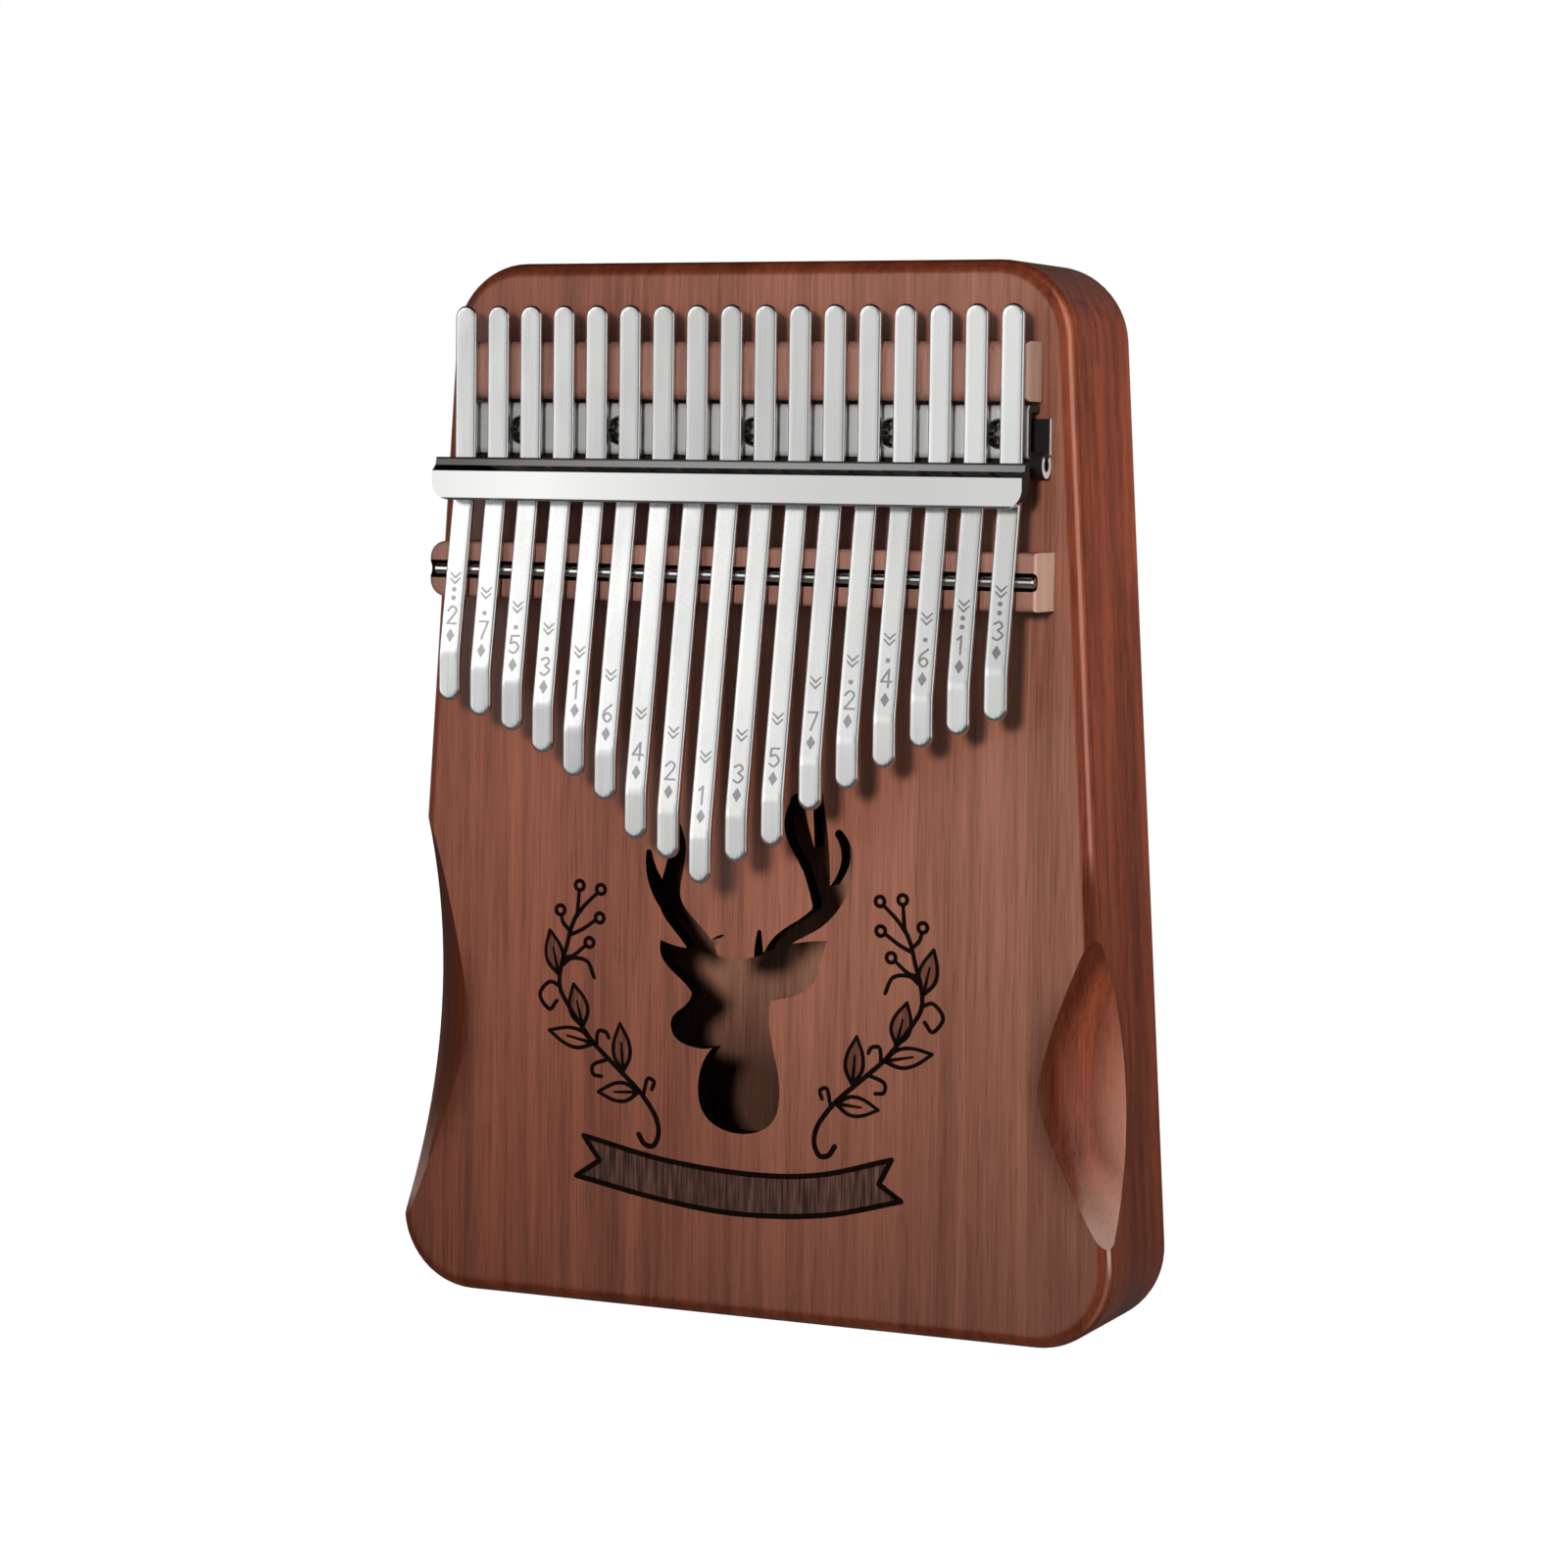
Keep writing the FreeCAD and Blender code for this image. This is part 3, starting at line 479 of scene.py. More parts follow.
# the inside of the back plate, with painted shade low down in the sound hole
INNER_WOOD = make_wood("inner_wood", tone(106, 70, 56), tone(162, 114, 94), 0.5, 0.8,
                       foot_shade_share=0.7)
TINE_STEEL = make_tine_steel()
CHROME = make_metal("bright_chrome", tone(238, 238, 238), 0.07)
PLATE = make_metal("plated_sheet", tone(236, 234, 232), 0.36, metallic=0.55)
# dark grey that paints shade on hidden metal faces
SHADE_DARK_METAL = make_metal("painted_shade_dark", tone(30, 27, 26), 0.6, metallic=0.0)
BAR_FACE = make_bar_face()
BAR_LIP = make_bar_lip()
ROD_STEEL = make_metal("rod_steel", tone(222, 220, 216), 0.16)
# the screws' darker grey is a painted reflection of the dark surroundings in their chrome
SCREW_STEEL = make_metal("screw_steel", tone(120, 118, 116), 0.18)
BURNT = make_burnt("burnt_line", tone(10, 5, 4), tone(26, 13, 10))
# black for the charred hole walls, and painted shade in the rod's groove
CHAR_AND_SHADE = make_burnt("char_and_groove_shade", tone(5, 3, 3), tone(13, 8, 6))
ETCHED = make_burnt("etched_fill", tone(50, 34, 29), tone(118, 84, 73))
LEAF_TINT = make_burnt("leaf_shading", tone(84, 50, 40), tone(128, 82, 66))
ENGRAVED = make_engraved()


# ---------------------------------------------------------------- the CAD pieces
HOLE_HALF_WIDTH = 22.0 * MM
HOLE_BOTTOM = 32.0 * MM
HOLE_TOP = 95.0 * MM
PLATE_BOTTOM = 151.5 * MM
PLATE_LEVEL = 4.4 * MM
FOOT_LEVEL = 1.0 * MM
LIP_FOOT = 149.3 * MM
STRIP_LEVEL = 9.4 * MM
ROD_HEIGHT = 131.0 * MM
GROOVE_HALF_WIDTH = 1.65 * MM
GROOVE_MARGIN = 0.05 * MM
WELD_REACH = 0.001 * MM
SHARP_ANGLE = math.radians(35)
SHEET_EDGE = 0.16 * MM
SCREW_EDGE = 0.1 * MM


def soften(name, width):
    """Join a CAD piece's facets, break its sharp edges and shade it smoothly."""
    obj = nodes[name]
    joined = obj.modifiers.new("joined", "WELD")
    joined.merge_threshold = WELD_REACH
    edge = obj.modifiers.new("broken_edges", "BEVEL")
    edge.width = width
    edge.segments = 3
    edge.limit_method = "ANGLE"
    edge.angle_limit = SHARP_ANGLE
    shade_by_area(obj)


def paint(name, material):
    """Give a whole CAD piece one material."""
    mesh = nodes[name].data
    mesh.materials.clear()
    mesh.materials.append(material)
    for polygon in mesh.polygons:
        polygon.material_index = 0


def paint_where(name, material, test):
    """Give another material to the polygons of a CAD piece that pass the test."""
    mesh = nodes[name].data
    mesh.materials.append(material)
    for polygon in mesh.polygons:
        if test(polygon):
            polygon.material_index = len(mesh.materials) - 1


def is_hole_wall(polygon):
    """The engraver's beam left the walls of the stag-shaped hole black."""
    middle = polygon.center
    inside = abs(middle.x) < HOLE_HALF_WIDTH and HOLE_BOTTOM < middle.z < HOLE_TOP
    return inside and abs(polygon.normal.y) < 0.5


def is_inner_face(polygon):
    """The inside of the back plate was never sanded or oiled."""
    return polygon.normal.y < -0.5


def is_in_painted_shade(polygon):
    """Painted shade on the bracket: all of it is dark but its front face and the ends of its
    foot and bead.
    """
    level = FACE_Y - polygon.center.y
    if polygon.center.z < PLATE_BOTTOM:
        return abs(polygon.normal.x) < 0.5
    if abs(polygon.normal.x) > 0.5:
        return level > FOOT_LEVEL
    return level < PLATE_LEVEL


def is_bar_face(polygon):
    """The bar's flat front."""
    return polygon.normal.y < -0.9


def is_lip(polygon):
    """The fold along the bar's upper edge."""
    return polygon.center.z > LIP_FOOT and polygon.normal.y < -0.1


def is_end(polygon):
    """The left and right ends of a strip or bar."""
    return abs(polygon.normal.x) > 0.7


def is_shaded_groove(polygon):
    """The rod's groove in the front strip is painted black as shade."""
    middle = polygon.center
    sunk = FACE_Y - middle.y < STRIP_LEVEL - GROOVE_MARGIN
    beside_rod = abs(middle.z - ROD_HEIGHT) < GROOVE_HALF_WIDTH
    return sunk and beside_rod and abs(polygon.normal.x) < 0.5


def finish_box():
    for name in ("soundboard", "side_rim", "back_plate"):
        paint(name, BOX_WOOD)
    paint_where("soundboard", CHAR_AND_SHADE, is_hole_wall)
    paint_where("back_plate", INNER_WOOD, is_inner_face)
    paint("bridge_block", BLOCK_WOOD)


def finish_strips():
    for name, end_grain in (("rear_strip", SHADY_END), ("front_strip", STRIP_END)):
        paint(name, STRIP_WOOD)
        paint_where(name, end_grain, is_end)
    # painted shade in the rod's groove
    paint_where("front_strip", CHAR_AND_SHADE, is_shaded_groove)


def finish_metal_parts():
    paint("base_bracket", PLATE)
    # painted shade on the bracket's hidden faces
    paint_where("base_bracket", SHADE_DARK_METAL, is_in_painted_shade)
    paint("pressure_bar", CHROME)
    paint_where("pressure_bar", BAR_FACE, is_bar_face)
    paint_where("pressure_bar", BAR_LIP, is_lip)
    # painted shade on the bar's ends
    paint_where("pressure_bar", SHADE_DARK_METAL, is_end)
    for name in ("base_bracket", "pressure_bar"):
        soften(name, SHEET_EDGE)
    for name in ("bracket_screws", "clamp_bolts", "clamp_washers"):
        paint(name, SCREW_STEEL)
        soften(name, SCREW_EDGE)
    paint("saddle_rod", ROD_STEEL)


finish_box()
finish_strips()
finish_metal_parts()


# ---------------------------------------------------------------- the tines
TINE_WIDTH = 4.1 * MM
TINE_THICKNESS = 1.0 * MM
TINE_BEND_HEIGHT = 148.0 * MM
TIP_LENGTH = 8.4 * MM
BEND_RADIUS = 11.0 * MM
FRONT_ROUNDING = 0.42 * MM
BACK_ROUNDING = 0.14 * MM
HINGE_HEIGHT = 129.8 * MM
FLEX_REACH = 4.0 * MM
FLEX_STEPS = 8
ARC_STEPS = 5
CAP_STEPS = 9
ROUNDING_STEPS = 4


def side_view(number):
    """Corners of a tine's front face seen from the side, as (Y, Z), from top to tip."""
    root_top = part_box("tine_%02d_root" % number)[1]
    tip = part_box("tine_%02d_blade" % number)[0]
    flat = root_top.y - TINE_THICKNESS
    return [Vector((flat, root_top.z)), Vector((flat, TINE_BEND_HEIGHT)),
            Vector((tip.y, tip.z + TIP_LENGTH)), Vector((tip.y, tip.z))]


def cap_reach(step):
    """Distance from a tine's rounded end to one of the stations near it."""
    return TINE_WIDTH / 2 * (1 - math.cos(math.radians(90 * step / CAP_STEPS)))


def bend_stations(corner, before, after):
    """Stations along the arc between two straight stretches of a tine."""
    turn = before.angle_signed(after)
    start = corner - before * (BEND_RADIUS * math.tan(abs(turn) / 2))
    stations = []
    for step in range(ARC_STEPS + 1):
        angle = turn * step / ARC_STEPS
        along = Matrix.Rotation(-angle, 2) @ before
        chord = Matrix.Rotation(-angle / 2, 2) @ before
        spot = start + chord * (2 * BEND_RADIUS * math.sin(abs(angle) / 2))
        stations.append((spot, along))
    return stations


def flex_stations(corner, slope):
    """Close stations along the stretch that flexes over the rod."""
    stations = []
    for step in range(FLEX_STEPS + 1):
        level = HINGE_HEIGHT + FLEX_REACH * (1 - 2 * step / FLEX_STEPS)
        stations.append((corner + slope * ((level - corner.y) / slope.y), slope))
    return stations


def path_stations(corners):
    """(point, direction) pairs down the front face, from the top end to the tip."""
    top, upper_bend, lower_bend, tip = corners
    root_run = (upper_bend - top).normalized()
    slope = (lower_bend - upper_bend).normalized()
    tip_run = (tip - lower_bend).normalized()
    stations = [(top + root_run * cap_reach(step), root_run) for step in range(CAP_STEPS + 1)]
    stations += bend_stations(upper_bend, root_run, slope)
    stations += flex_stations(upper_bend, slope)
    stations += bend_stations(lower_bend, slope, tip_run)
    stations += [(tip - tip_run * cap_reach(step), tip_run)
                 for step in range(CAP_STEPS, -1, -1)]
    return stations


def outline_half_width(from_end):
    """Half a tine's width at a distance from its nearer end, which is a half circle."""
    half = TINE_WIDTH / 2
    if from_end < half:
        return math.sqrt(max(0.0, half ** 2 - (half - from_end) ** 2))
    return half


def edge_depth(across, from_end):
    """How far the rounded edge lies behind the front face."""
    half = TINE_WIDTH / 2
    to_edge = half - math.hypot(across, max(0.0, half - from_end))
    lack = max(0.0, 1 - to_edge / FRONT_ROUNDING)
    return FRONT_ROUNDING * (1 - math.sqrt(max(0.0, 1 - lack ** 2)))


def ring_across(from_end):
    """Cross-section at one station: (across, depth behind the front face) pairs."""
    half = TINE_WIDTH / 2
    half_width = outline_half_width(from_end)
    shares = []
    for step in range(ROUNDING_STEPS + 1):
        inset = FRONT_ROUNDING * (1 - math.cos(math.radians(90 * step / ROUNDING_STEPS)))
        shares.append(-(1 - inset / half))
    shares.append(-0.5)
    shares = shares + [0.0] + [-share for share in reversed(shares)]
    ring = [(share * half_width, edge_depth(share * half_width, from_end))
            for share in shares]
    wall_foot = TINE_THICKNESS - BACK_ROUNDING
    inner = half_width * (1 - BACK_ROUNDING / half)
    ring += [(half_width, wall_foot), (inner, TINE_THICKNESS),
             (-inner, TINE_THICKNESS), (-half_width, wall_foot)]
    return ring


def tube_faces(rows, columns):
    """Quads between neighbouring rings of a tube."""
    faces = []
    for row in range(rows - 1):
        for column in range(columns):
            following = (column + 1) % columns
            faces.append((row * columns + column, row * columns + following,
                          (row + 1) * columns + following, (row + 1) * columns + column))
    return faces


def make_tine(number):
    """One continuous skin over a tine's root and blade, with close stations over the rod."""
    corners = side_view(number)
    stations = path_stations(corners)
    middle = tine_middle(number)
    spots = []
    for spot, along in stations:
        from_end = min(abs(spot.y - corners[0].y), abs(spot.y - corners[-1].y))
        inward = Vector((-along.y, along.x))
        for across, depth in ring_across(from_end):
            spots.append((middle + across, spot.x + inward.x * depth,
                          spot.y + inward.y * depth))
    name = "tine_%02d" % number
    faces = tube_faces(len(stations), len(spots) // len(stations))
    tine = new_object(name, smooth_mesh(name, spots, faces), TINE_STEEL, None)
    shade_by_area(tine)
    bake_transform(tine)
    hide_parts(name + "_root", name + "_blade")


for tine_number in range(1, TINE_COUNT + 1):
    make_tine(tine_number)


# ---------------------------------------------------------------- burnt art on the board
ART_DEPTH = 0.05 * MM
FILL_DEPTH = 0.03 * MM
LINE_WIDTH = 0.96
SPRIG_SHIFT = -1.2
SPRIG_LIFT = 0.4
BERRY_RADIUS = 0.85
# neighbouring outlines lie at slightly different heights, so that no two are level
STACK_STEP = 0.03
STACK_LEVELS = 8


def on_board(x, z, proud):
    """A place on the sounding face, X and Z in millimetres, raised by a little."""
    return (x * MM, FACE_Y - proud, z * MM)


def inlay(name, outlines, material, place=on_board, body="box", depth=ART_DEPTH):
    """Thin plates lying on a surface; each outline is a list of places in mm."""
    spots = []
    faces = []
    for order, outline in enumerate(outlines):
        proud = depth * (1 + STACK_STEP * (order % STACK_LEVELS))
        first = len(spots)
        count = len(outline)
        spots += [place(x, z, proud) for x, z in outline]
        spots += [place(x, z, 0.0) for x, z in outline]
        faces.append(tuple(range(first, first + count)))
        faces.append(tuple(range(first + 2 * count - 1, first + count - 1, -1)))
        for index in range(count):
            following = (index + 1) % count
            faces.append((first + index, first + following,
                          first + count + following, first + count + index))
    mesh = bpy.data.meshes.new(name)
    mesh.from_pydata(spots, [], faces)
    new_object(name, mesh, material, body)


def stroke(points, widths):
    """Quads that follow a line with a changing width, with a round patch at each end."""
    line = [Vector(point) for point in points]
    sides = []
    for index, spot in enumerate(line):
        before = line[max(index - 1, 0)]
        after = line[min(index + 1, len(line) - 1)]
        run = (after - before).normalized()
        share = index / (len(line) - 1)
        half = (widths[0] + (widths[1] - widths[0]) * share) / 2
        across = Vector((-run.y, run.x)) * half
        sides.append((spot - across, spot + across))
    pieces = []
    for (low, high), (next_low, next_high) in zip(sides, sides[1:]):
        pieces.append([low, next_low, next_high, high])
    for spot, width in ((line[0], widths[0]), (line[-1], widths[1])):
        pieces.append(circle(spot, width / 2))
    return pieces


def ring_line(middle, radius, width, count=20):
    """A thin circle drawn as a line."""
    spots = circle(middle, radius, count)
    return stroke(spots + spots[:1], (width, width))


# how far along a leaf its outline turns, and which share of the bulge it has there
LEAF_SWELLS = ((0.3, 0.9), (0.62, 0.85))


def leaf(base, tip, bulge, width):
    """A pointed leaf drawn as its outline and half a midrib; also its whole shape."""
    start, end = Vector(base), Vector(tip)
    run = end - start
    side = Vector((-run.y, run.x)).normalized() * bulge
    pieces = []
    shape = []
    for sign in (-1, 1):
        swells = [start + run * along + side * sign * share for along, share in LEAF_SWELLS]
        line = smooth_line([start, *swells, end], 6)
        pieces += stroke(line, (width, width * 0.8))
        shape += line if sign == -1 else line[-2:0:-1]
    pieces += stroke([start, start + run * 0.6], (width, width * 0.5))
    return pieces, shape


# the branch on the left, in millimetres; a leaf is (base, tip, bulge, whether it is shaded)
SPRIG_STEM = [(-31.4, 70.6), (-32.6, 67.9), (-33.6, 64.2), (-34.6, 60.8), (-34.8, 57.1),
              (-33.0, 53.8), (-29.8, 49.6), (-27.6, 47.1), (-23.1, 43.2), (-18.9, 39.5),
              (-15.8, 35.5), (-15.0, 32.4), (-16.0, 30.0), (-17.8, 30.2), (-18.9, 31.8)]
SPRIG_BERRIES = [(-31.0, 75.5), (-26.8, 75.0), (-27.0, 69.9), (-34.8, 70.9), (-29.0, 65.4)]
SPRIG_TWIGS = [[(-31.4, 70.6), (-31.1, 74.5)], [(-32.1, 69.3), (-30.0, 72.0), (-27.5, 74.3)],
               [(-33.0, 66.5), (-30.6, 67.6), (-27.9, 69.4)],
               [(-32.8, 67.2), (-34.2, 68.6), (-34.6, 69.9)],
               [(-34.2, 62.4), (-32.2, 62.9), (-29.8, 64.8)]]
SPRIG_LEAVES = [((-35.1, 59.4), (-36.9, 67.2), 1.7, True),
                ((-30.2, 50.3), (-32.1, 57.8), 1.8, True),
                ((-28.0, 47.4), (-36.9, 49.2), 1.7, False),
                ((-22.1, 42.9), (-22.8, 51.3), 1.7, True),
                ((-19.1, 39.3), (-27.0, 38.8), 1.7, False)]
SPRIG_CURLS = [[(-34.4, 61.0), (-32.4, 62.4), (-29.4, 62.0), (-28.0, 59.2)],
               [(-34.7, 57.2), (-36.9, 57.9), (-38.8, 55.5), (-36.9, 53.0), (-35.4, 54.6)],
               [(-27.4, 47.2), (-27.1, 49.6), (-25.6, 49.6), (-25.0, 48.6)],
               [(-25.0, 44.8), (-28.0, 43.6), (-28.0, 41.9), (-26.4, 41.6)],
               [(-18.0, 39.1), (-17.3, 41.8), (-16.0, 41.4), (-16.4, 40.0)]]


def make_sprig(name, side):
    """A curling branch with berries and leaves; the right one mirrors the left."""
    def turned(points):
        return [(x * -side + SPRIG_SHIFT, z + SPRIG_LIFT * side) for x, z in points]
    width = LINE_WIDTH
    pieces = stroke(smooth_line(turned(SPRIG_STEM)), (width * 0.8, width))
    for middle in turned(SPRIG_BERRIES):
        pieces += ring_line(middle, BERRY_RADIUS, width * 0.75)
    for twig in SPRIG_TWIGS:
        pieces += stroke(smooth_line(turned(twig), 5), (width * 0.8, width * 0.7))
    shaded = []
    for base, tip, bulge, filled in SPRIG_LEAVES:
        base, tip = turned([base, tip])
        lines, shape = leaf(base, tip, bulge, width * 0.8)
        pieces += lines
        if filled:
            shaded.append(shape)
    for curl in SPRIG_CURLS:
        pieces += stroke(smooth_line(turned(curl), 6), (width * 0.75, width * 0.75))
    inlay(name + "_shading", shaded, LEAF_TINT, depth=FILL_DEPTH)
    inlay(name, pieces, BURNT)


RIBBON_TOP = [(-31.0, 30.3), (-15.0, 27.2), (1.7, 26.0), (15.0, 27.0), (28.4, 30.7)]
RIBBON_BOTTOM = [(-32.4, 23.0), (-15.0, 20.0), (0.0, 18.8), (16.0, 20.0), (30.3, 23.6)]
LEFT_NOTCH = (-27.8, 26.1)
RIGHT_NOTCH = (26.1, 26.3)
# steps along the ribbon that each forked end takes up
FORK_STEPS = 3


def make_ribbon():
    """A blank ribbon with forked ends: an etched fill inside a darker outline."""
    top = smooth_line(RIBBON_TOP)
    bottom = smooth_line(RIBBON_BOTTOM)
    left_notch = Vector(LEFT_NOTCH)
    right_notch = Vector(RIGHT_NOTCH)
    fill = []
    for index in range(len(top) - 1):
        at_left = index < FORK_STEPS
        at_right = index >= len(top) - 1 - FORK_STEPS
        if at_left or at_right:
            notch = left_notch if at_left else right_notch
            fill.append([bottom[index], bottom[index + 1], notch])
            fill.append([notch, top[index + 1], top[index]])
        else:
            fill.append([bottom[index], bottom[index + 1], top[index + 1], top[index]])
    fill.append([left_notch, bottom[FORK_STEPS], top[FORK_STEPS]])
    fill.append([bottom[-1 - FORK_STEPS], right_notch, top[-1 - FORK_STEPS]])
    edge = []
    for line in (top, bottom, [top[0], left_notch], [left_notch, bottom[0]],
                 [top[-1], right_notch], [right_notch, bottom[-1]]):
        edge += stroke(line, (LINE_WIDTH, LINE_WIDTH))
    inlay("ribbon_fill", fill, ETCHED, depth=FILL_DEPTH)
    inlay("ribbon_outline", edge, BURNT)


make_sprig("left_sprig", -1)
make_sprig("right_sprig", 1)
make_ribbon()


# ---------------------------------------------------------------- marks on the tines
# sizes here are in millimetres, apart from each digit's lines, drawn on a cell one wide
DIGIT_LINES = {
    1: [[(-0.35, 1.25), (0.0, 1.6)], [(0.0, 1.6), (0.0, 0.0)]],
    2: [[(-0.45, 1.2), (0.0, 1.6), (0.42, 1.15), (-0.45, 0.0)], [(-0.45, 0.0), (0.5, 0.0)]],
    3: [[(-0.42, 1.4), (0.1, 1.6), (0.36, 1.2), (-0.05, 0.85)],
        [(-0.05, 0.85), (0.45, 0.45), (0.0, 0.0), (-0.45, 0.2)]],
    4: [[(0.2, 0.0), (0.2, 1.6)], [(0.2, 1.6), (-0.5, 0.5)], [(-0.5, 0.5), (0.5, 0.5)]],
    5: [[(0.4, 1.6), (-0.35, 1.6)], [(-0.35, 1.6), (-0.4, 0.9)],
        [(-0.4, 0.9), (0.1, 1.0), (0.45, 0.5), (0.0, 0.0), (-0.45, 0.2)]],
    6: [[(0.35, 1.55), (-0.3, 1.0), (-0.4, 0.4), (0.0, 0.0), (0.4, 0.4), (0.0, 0.8),
         (-0.38, 0.5)]],
    7: [[(-0.45, 1.6), (0.45, 1.6)], [(0.45, 1.6), (-0.1, 0.0)]],
}
TINE_DIGITS = [2, 7, 5, 3, 1, 6, 4, 2, 1, 3, 5, 7, 2, 4, 6, 1, 3]
TINE_DOTS = [2, 1, 1, 1, 1, 0, 0, 0, 0, 0, 0, 0, 1, 1, 1, 2, 2]
DIGIT_HEIGHT = 1.6
DIGIT_SCALE = 1.9
DIGIT_FOOT = 5.2
MARK_LINE = 0.34
DOT_STEP = 1.5
DOT_RADIUS = 0.42
CHEVRON_LIFTS = (2.6, 3.6)
CHEVRON_REACH = 0.95
CHEVRON_RISE = 0.9
DIAMOND = [(0.0, 1.9), (0.8, 3.1), (0.0, 4.3), (-0.8, 3.1)]


def mark_outlines(number):
    """A note number with its octave dots and two chevrons above, a diamond below."""
    pieces = []
    for line in DIGIT_LINES[TINE_DIGITS[number - 1]]:
        spots = [(x * DIGIT_SCALE, z * DIGIT_SCALE + DIGIT_FOOT) for x, z in line]
        pieces += stroke(smooth_line(spots, 4) if len(spots) > 2 else spots,
                         (MARK_LINE, MARK_LINE))
    dots_foot = DIGIT_FOOT + DIGIT_HEIGHT * DIGIT_SCALE + DOT_STEP
    for dot in range(TINE_DOTS[number - 1]):
        pieces.append(circle((0.0, dots_foot + dot * DOT_STEP), DOT_RADIUS))
    pieces.append(DIAMOND)
    for side in (-1, 1):
        for lift in CHEVRON_LIFTS:
            foot = dots_foot + lift
            slant = [(0.0, foot), (CHEVRON_REACH * side, foot + CHEVRON_RISE)]
            pieces += stroke(slant, (MARK_LINE, MARK_LINE * 0.7))
    return pieces


def make_mark(number):
    """Engrave a tine's mark on the slope above its lower bend."""
    corners = side_view(number)
    bend = corners[2]
    rising = (corners[1] - bend).normalized()
    outward = Vector((-rising.y, rising.x))
    if outward.x > 0:
        outward = -outward
    middle = tine_middle(number)

    def on_tine(x, along, proud):
        spot = bend + rising * (along * MM) + outward * proud
        return (middle + x * MM, spot.x, spot.y)

    name = "tine_%02d" % number
    inlay(name + "_mark", mark_outlines(number), ENGRAVED, on_tine, name + "_blade")


for tine_number in range(1, TINE_COUNT + 1):
    make_mark(tine_number)


# ---------------------------------------------------------------- camera
CAMERA_AZIMUTH = 24.0
CAMERA_ELEVATION = 4.5
CAMERA_ROLL = 0.7
CAMERA_DISTANCE = 0.7146
CAMERA_LENS = 93.2
CAMERA_SENSOR = 36.0
CAMERA_NEAREST = 0.01
CAMERA_TARGET = Vector((0.0028, -0.0055, 0.0940))


def direction(azimuth, elevation):
    """Unit vector towards a place; azimuth 0 is straight in front, 90 on the right."""
    turn = math.radians(azimuth)
    lift = math.radians(elevation)
    return Vector((math.sin(turn) * math.cos(lift), -math.cos(turn) * math.cos(lift),
                   math.sin(lift)))


def make_camera():
    away = direction(CAMERA_AZIMUTH, CAMERA_ELEVATION)
    data = bpy.data.cameras.new("camera")
    data.lens = CAMERA_LENS
    data.sensor_width = CAMERA_SENSOR
    data.clip_start = CAMERA_NEAREST
    camera = bpy.data.objects.new("camera", data)
    camera.location = CAMERA_TARGET + away * CAMERA_DISTANCE
    turn = (-away).to_track_quat("-Z", "Y").to_matrix()
    roll = Matrix.Rotation(math.radians(CAMERA_ROLL), 3, "Z")
    camera.rotation_euler = (turn @ roll).to_euler()
    scene.collection.objects.link(camera)
    scene.camera = camera


# ---------------------------------------------------------------- lamps
LAMP_DISTANCE = 1.0


def make_spot(name, azimuth, elevation, target, cone, softness, power):
    """A lamp with a soft-edged pool of light; it doesn't show in the metal."""
    away = direction(azimuth, elevation)
    data = bpy.data.lights.new(name, "SPOT")
    data.spot_size = math.radians(cone)
    data.spot_blend = 1.0
    data.shadow_soft_size = softness
    data.energy = power
    light = bpy.data.objects.new(name, data)
    light.location = Vector(target) + away * LAMP_DISTANCE
    light.rotation_euler = (-away).to_track_quat("-Z", "Y").to_euler()
    light.visible_glossy = False
    scene.collection.objects.link(light)


def make_lights():
    make_spot("front_lamp", 10, 10, (0.030, -0.0155, 0.124), cone=20.5, softness=0.07, power=37)
    make_spot("side_lamp", 98, 8, (0.06, 0.0, 0.154), cone=16.5, softness=0.10, power=40)
    make_spot("back_lamp", 198, 6, (0.0, 0.0155, 0.094), cone=24.0, softness=0.15, power=16)


# ---------------------------------------------------------------- surroundings
# how bright the surroundings are at each azimuth, level with the instrument
SURROUND = [(-180, 0.3), (-155, 0.12), (-105, 0.12), (-80, 0.15), (-55, 0.3), (-40, 1.9),
            (-31, 2.0), (-27, 1.25), (-23, 0.74), (-18, 0.72), (-8, 0.5), (8, 0.2), (40, 0.2),
            (56, 0.6), (70, 1.2), (84, 1.2), (100, 0.8), (118, 0.08), (165, 0.08),
            (180, 0.3)]
BRIGHTEST = max(value for angle, value in SURROUND)
# the surroundings fade into a dark ceiling between these heights on a sphere of radius 1
CEILING_FOOT = 0.34
CEILING_TOP = 0.55
CEILING_LIGHT = 0.02


def world_node(tree, kind, operation=None, **inputs):
    """Add a node with its inputs, each under its name or under a low line and its number."""
    node = tree.nodes.new(kind)
    if operation:
        node.operation = operation
    for name, value in inputs.items():
        socket = node.inputs[int(name[1:])] if name[1:].isdigit() else node.inputs[name]
        if isinstance(value, bpy.types.NodeSocket):
            tree.links.new(value, socket)
        else:
            socket.default_value = value
    return node


def world_range(tree, value, low, high, to_low, to_high):
    """Stretch the part of a value between low and high over a new range."""
    node = world_node(tree, "ShaderNodeMapRange", Value=value)
    for name, number in (("From Min", low), ("From Max", high),
                         ("To Min", to_low), ("To Max", to_high)):
        node.inputs[name].default_value = number
    return node.outputs["Result"]


def fill_ramp(stops):
    """Set a colour ramp to the brightness all around, from azimuth -180 to 180."""
    for index, (angle, value) in enumerate(SURROUND):
        position = (angle + 180) / 360
        if index in (0, len(SURROUND) - 1):
            stop = stops[0] if index == 0 else stops[-1]
            stop.position = position
        else:
            stop = stops.new(position)
        grey = value / BRIGHTEST
        stop.color = (grey, grey, grey, 1.0)


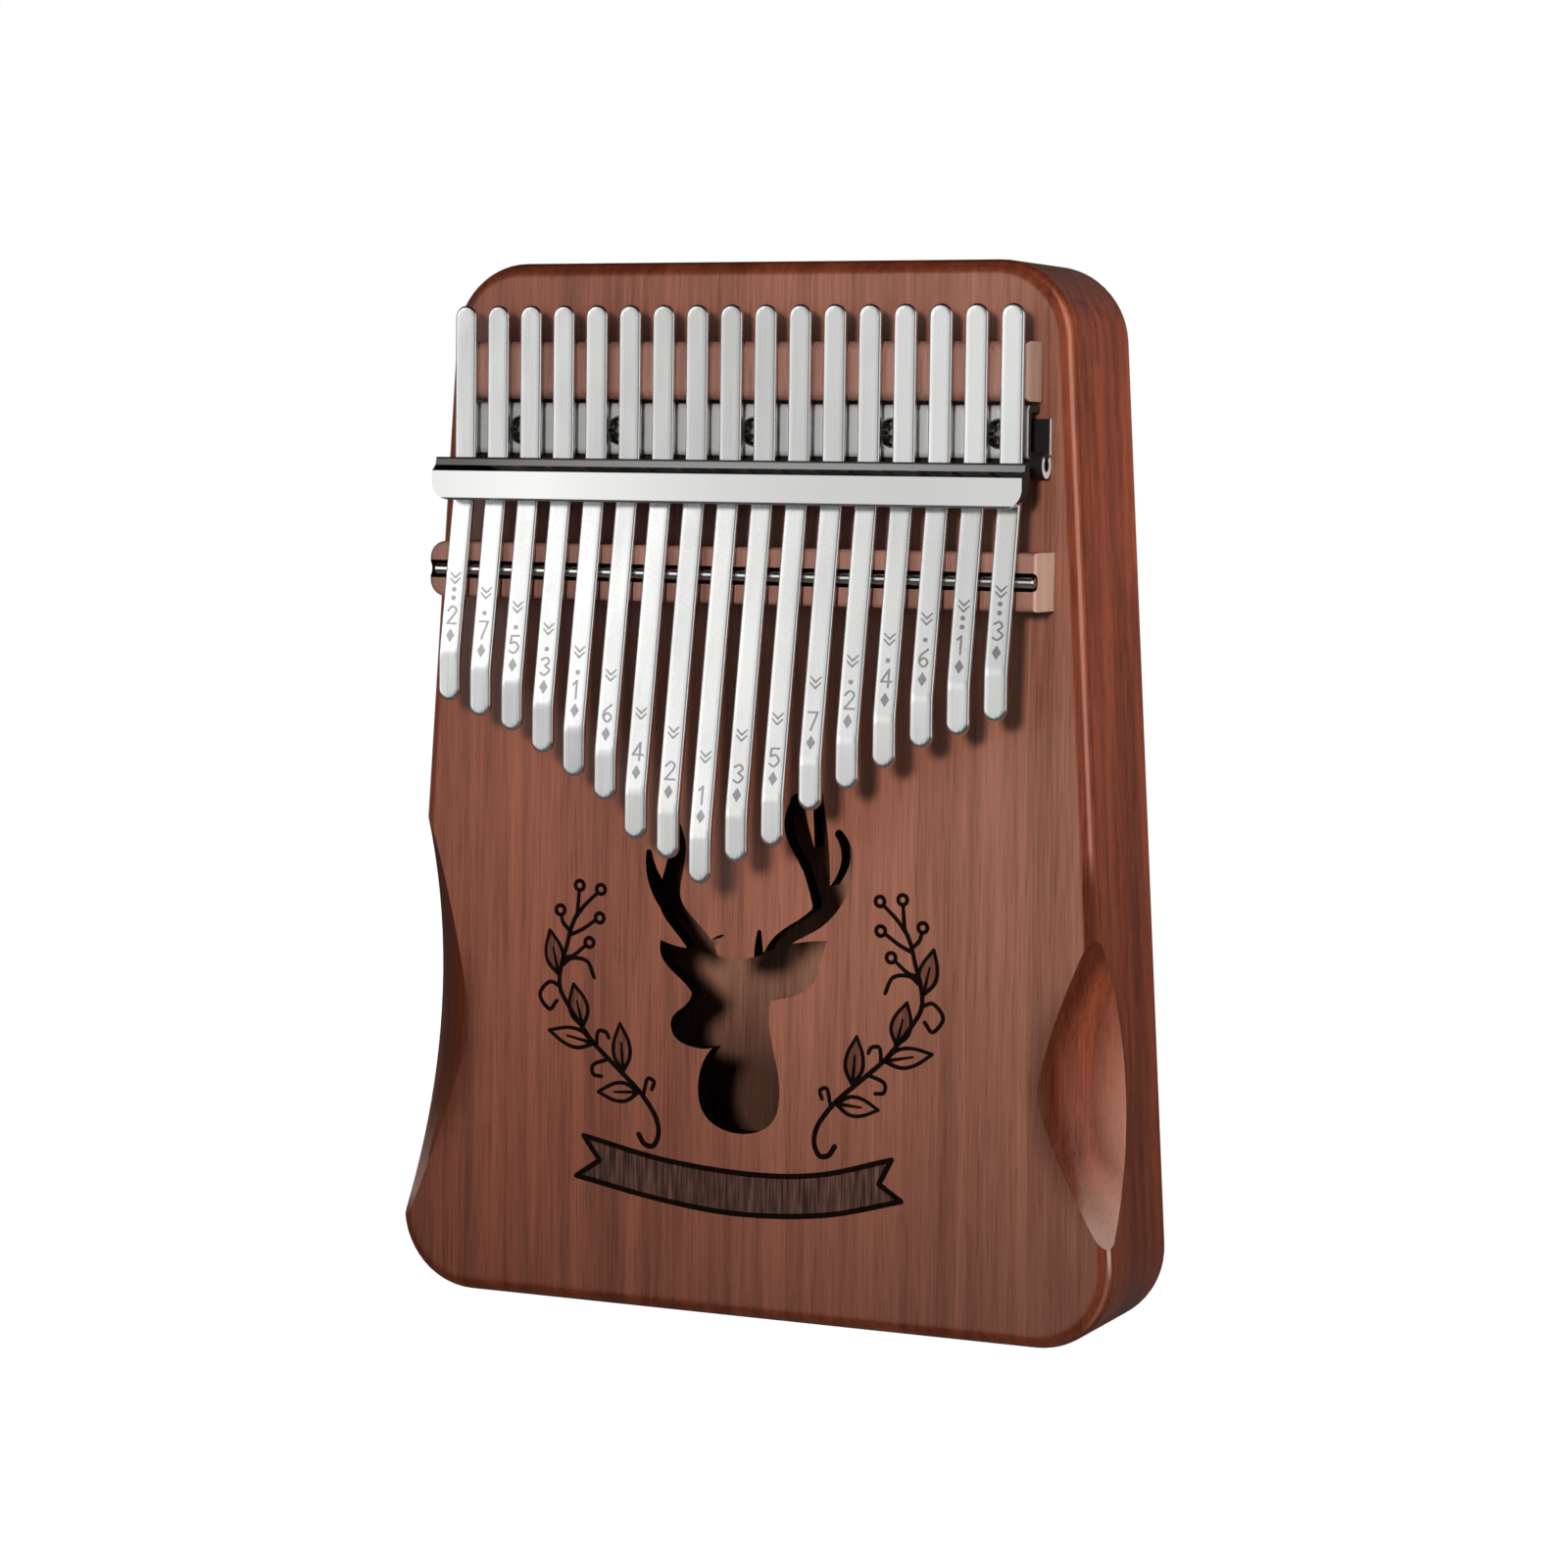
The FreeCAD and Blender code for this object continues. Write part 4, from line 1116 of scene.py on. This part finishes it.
def make_world():
    """White to the camera; softboxes around and a dark ceiling light the object."""
    world = bpy.data.worlds.new("world")
    scene.world = world
    world.use_nodes = True
    tree = world.node_tree
    place = world_node(tree, "ShaderNodeTexCoord").outputs["Generated"]
    split = world_node(tree, "ShaderNodeSeparateXYZ", Vector=place)
    toward = world_node(tree, "ShaderNodeMath", "MULTIPLY", _0=split.outputs["Y"], _1=-1.0)
    azimuth = world_node(tree, "ShaderNodeMath", "ARCTAN2", _0=split.outputs["X"],
                         _1=toward.outputs["Value"])
    around = world_range(tree, azimuth.outputs["Value"], -math.pi, math.pi, 0.0, 1.0)
    ring = world_node(tree, "ShaderNodeValToRGB", Fac=around)
    fill_ramp(ring.color_ramp.elements)
    ceiling = world_range(tree, split.outputs["Z"], CEILING_FOOT, CEILING_TOP,
                          BRIGHTEST, CEILING_LIGHT)
    surround = tree.nodes["Background"]
    tree.links.new(ring.outputs["Color"], surround.inputs["Color"])
    tree.links.new(ceiling, surround.inputs["Strength"])
    white = world_node(tree, "ShaderNodeBackground", Color=(1.0, 1.0, 1.0, 1.0), Strength=1.0)
    ray = world_node(tree, "ShaderNodeLightPath")
    mix = world_node(tree, "ShaderNodeMixShader", _0=ray.outputs["Is Camera Ray"],
                     _1=surround.outputs["Background"], _2=white.outputs["Background"])
    tree.links.new(mix.outputs["Shader"], tree.nodes["World Output"].inputs["Surface"])


FLOOR_RADIUS = 0.75
FLOOR_CORNERS = 64
FLOOR_DROP = 0.1 * MM
FLOOR_GLOW = 0.97


def floor_material():
    """Pale grey that glows for the camera alone, so that it runs into the white."""
    material = bpy.data.materials.new("pale_floor")
    material.use_nodes = True
    tree = material.node_tree
    surface = tree.nodes["Principled BSDF"]
    for name, value in (("Base Color", (0.5, 0.5, 0.5, 1.0)), ("Roughness", 0.9),
                        ("Specular IOR Level", 0.1), ("Emission Color", (1.0, 1.0, 1.0, 1.0))):
        surface.inputs[name].default_value = value
    ray = tree.nodes.new("ShaderNodeLightPath")
    lift = tree.nodes.new("ShaderNodeMath")
    lift.operation = "MULTIPLY"
    lift.inputs[1].default_value = FLOOR_GLOW
    tree.links.new(ray.outputs["Is Camera Ray"], lift.inputs[0])
    tree.links.new(lift.outputs["Value"], surface.inputs["Emission Strength"])
    return material


def make_floor():
    """A round floor just under the instrument."""
    rim = [(x, y, 0.0) for x, y in circle((0.0, 0.0), FLOOR_RADIUS, FLOOR_CORNERS)]
    mesh = bpy.data.meshes.new("floor")
    mesh.from_pydata(rim, [], [tuple(range(FLOOR_CORNERS))])
    mesh.materials.append(floor_material())
    floor = bpy.data.objects.new("floor", mesh)
    floor.location.z = -FLOOR_DROP
    scene.collection.objects.link(floor)


scene.view_settings.view_transform = "Standard"
make_camera()
make_lights()
make_world()
make_floor()
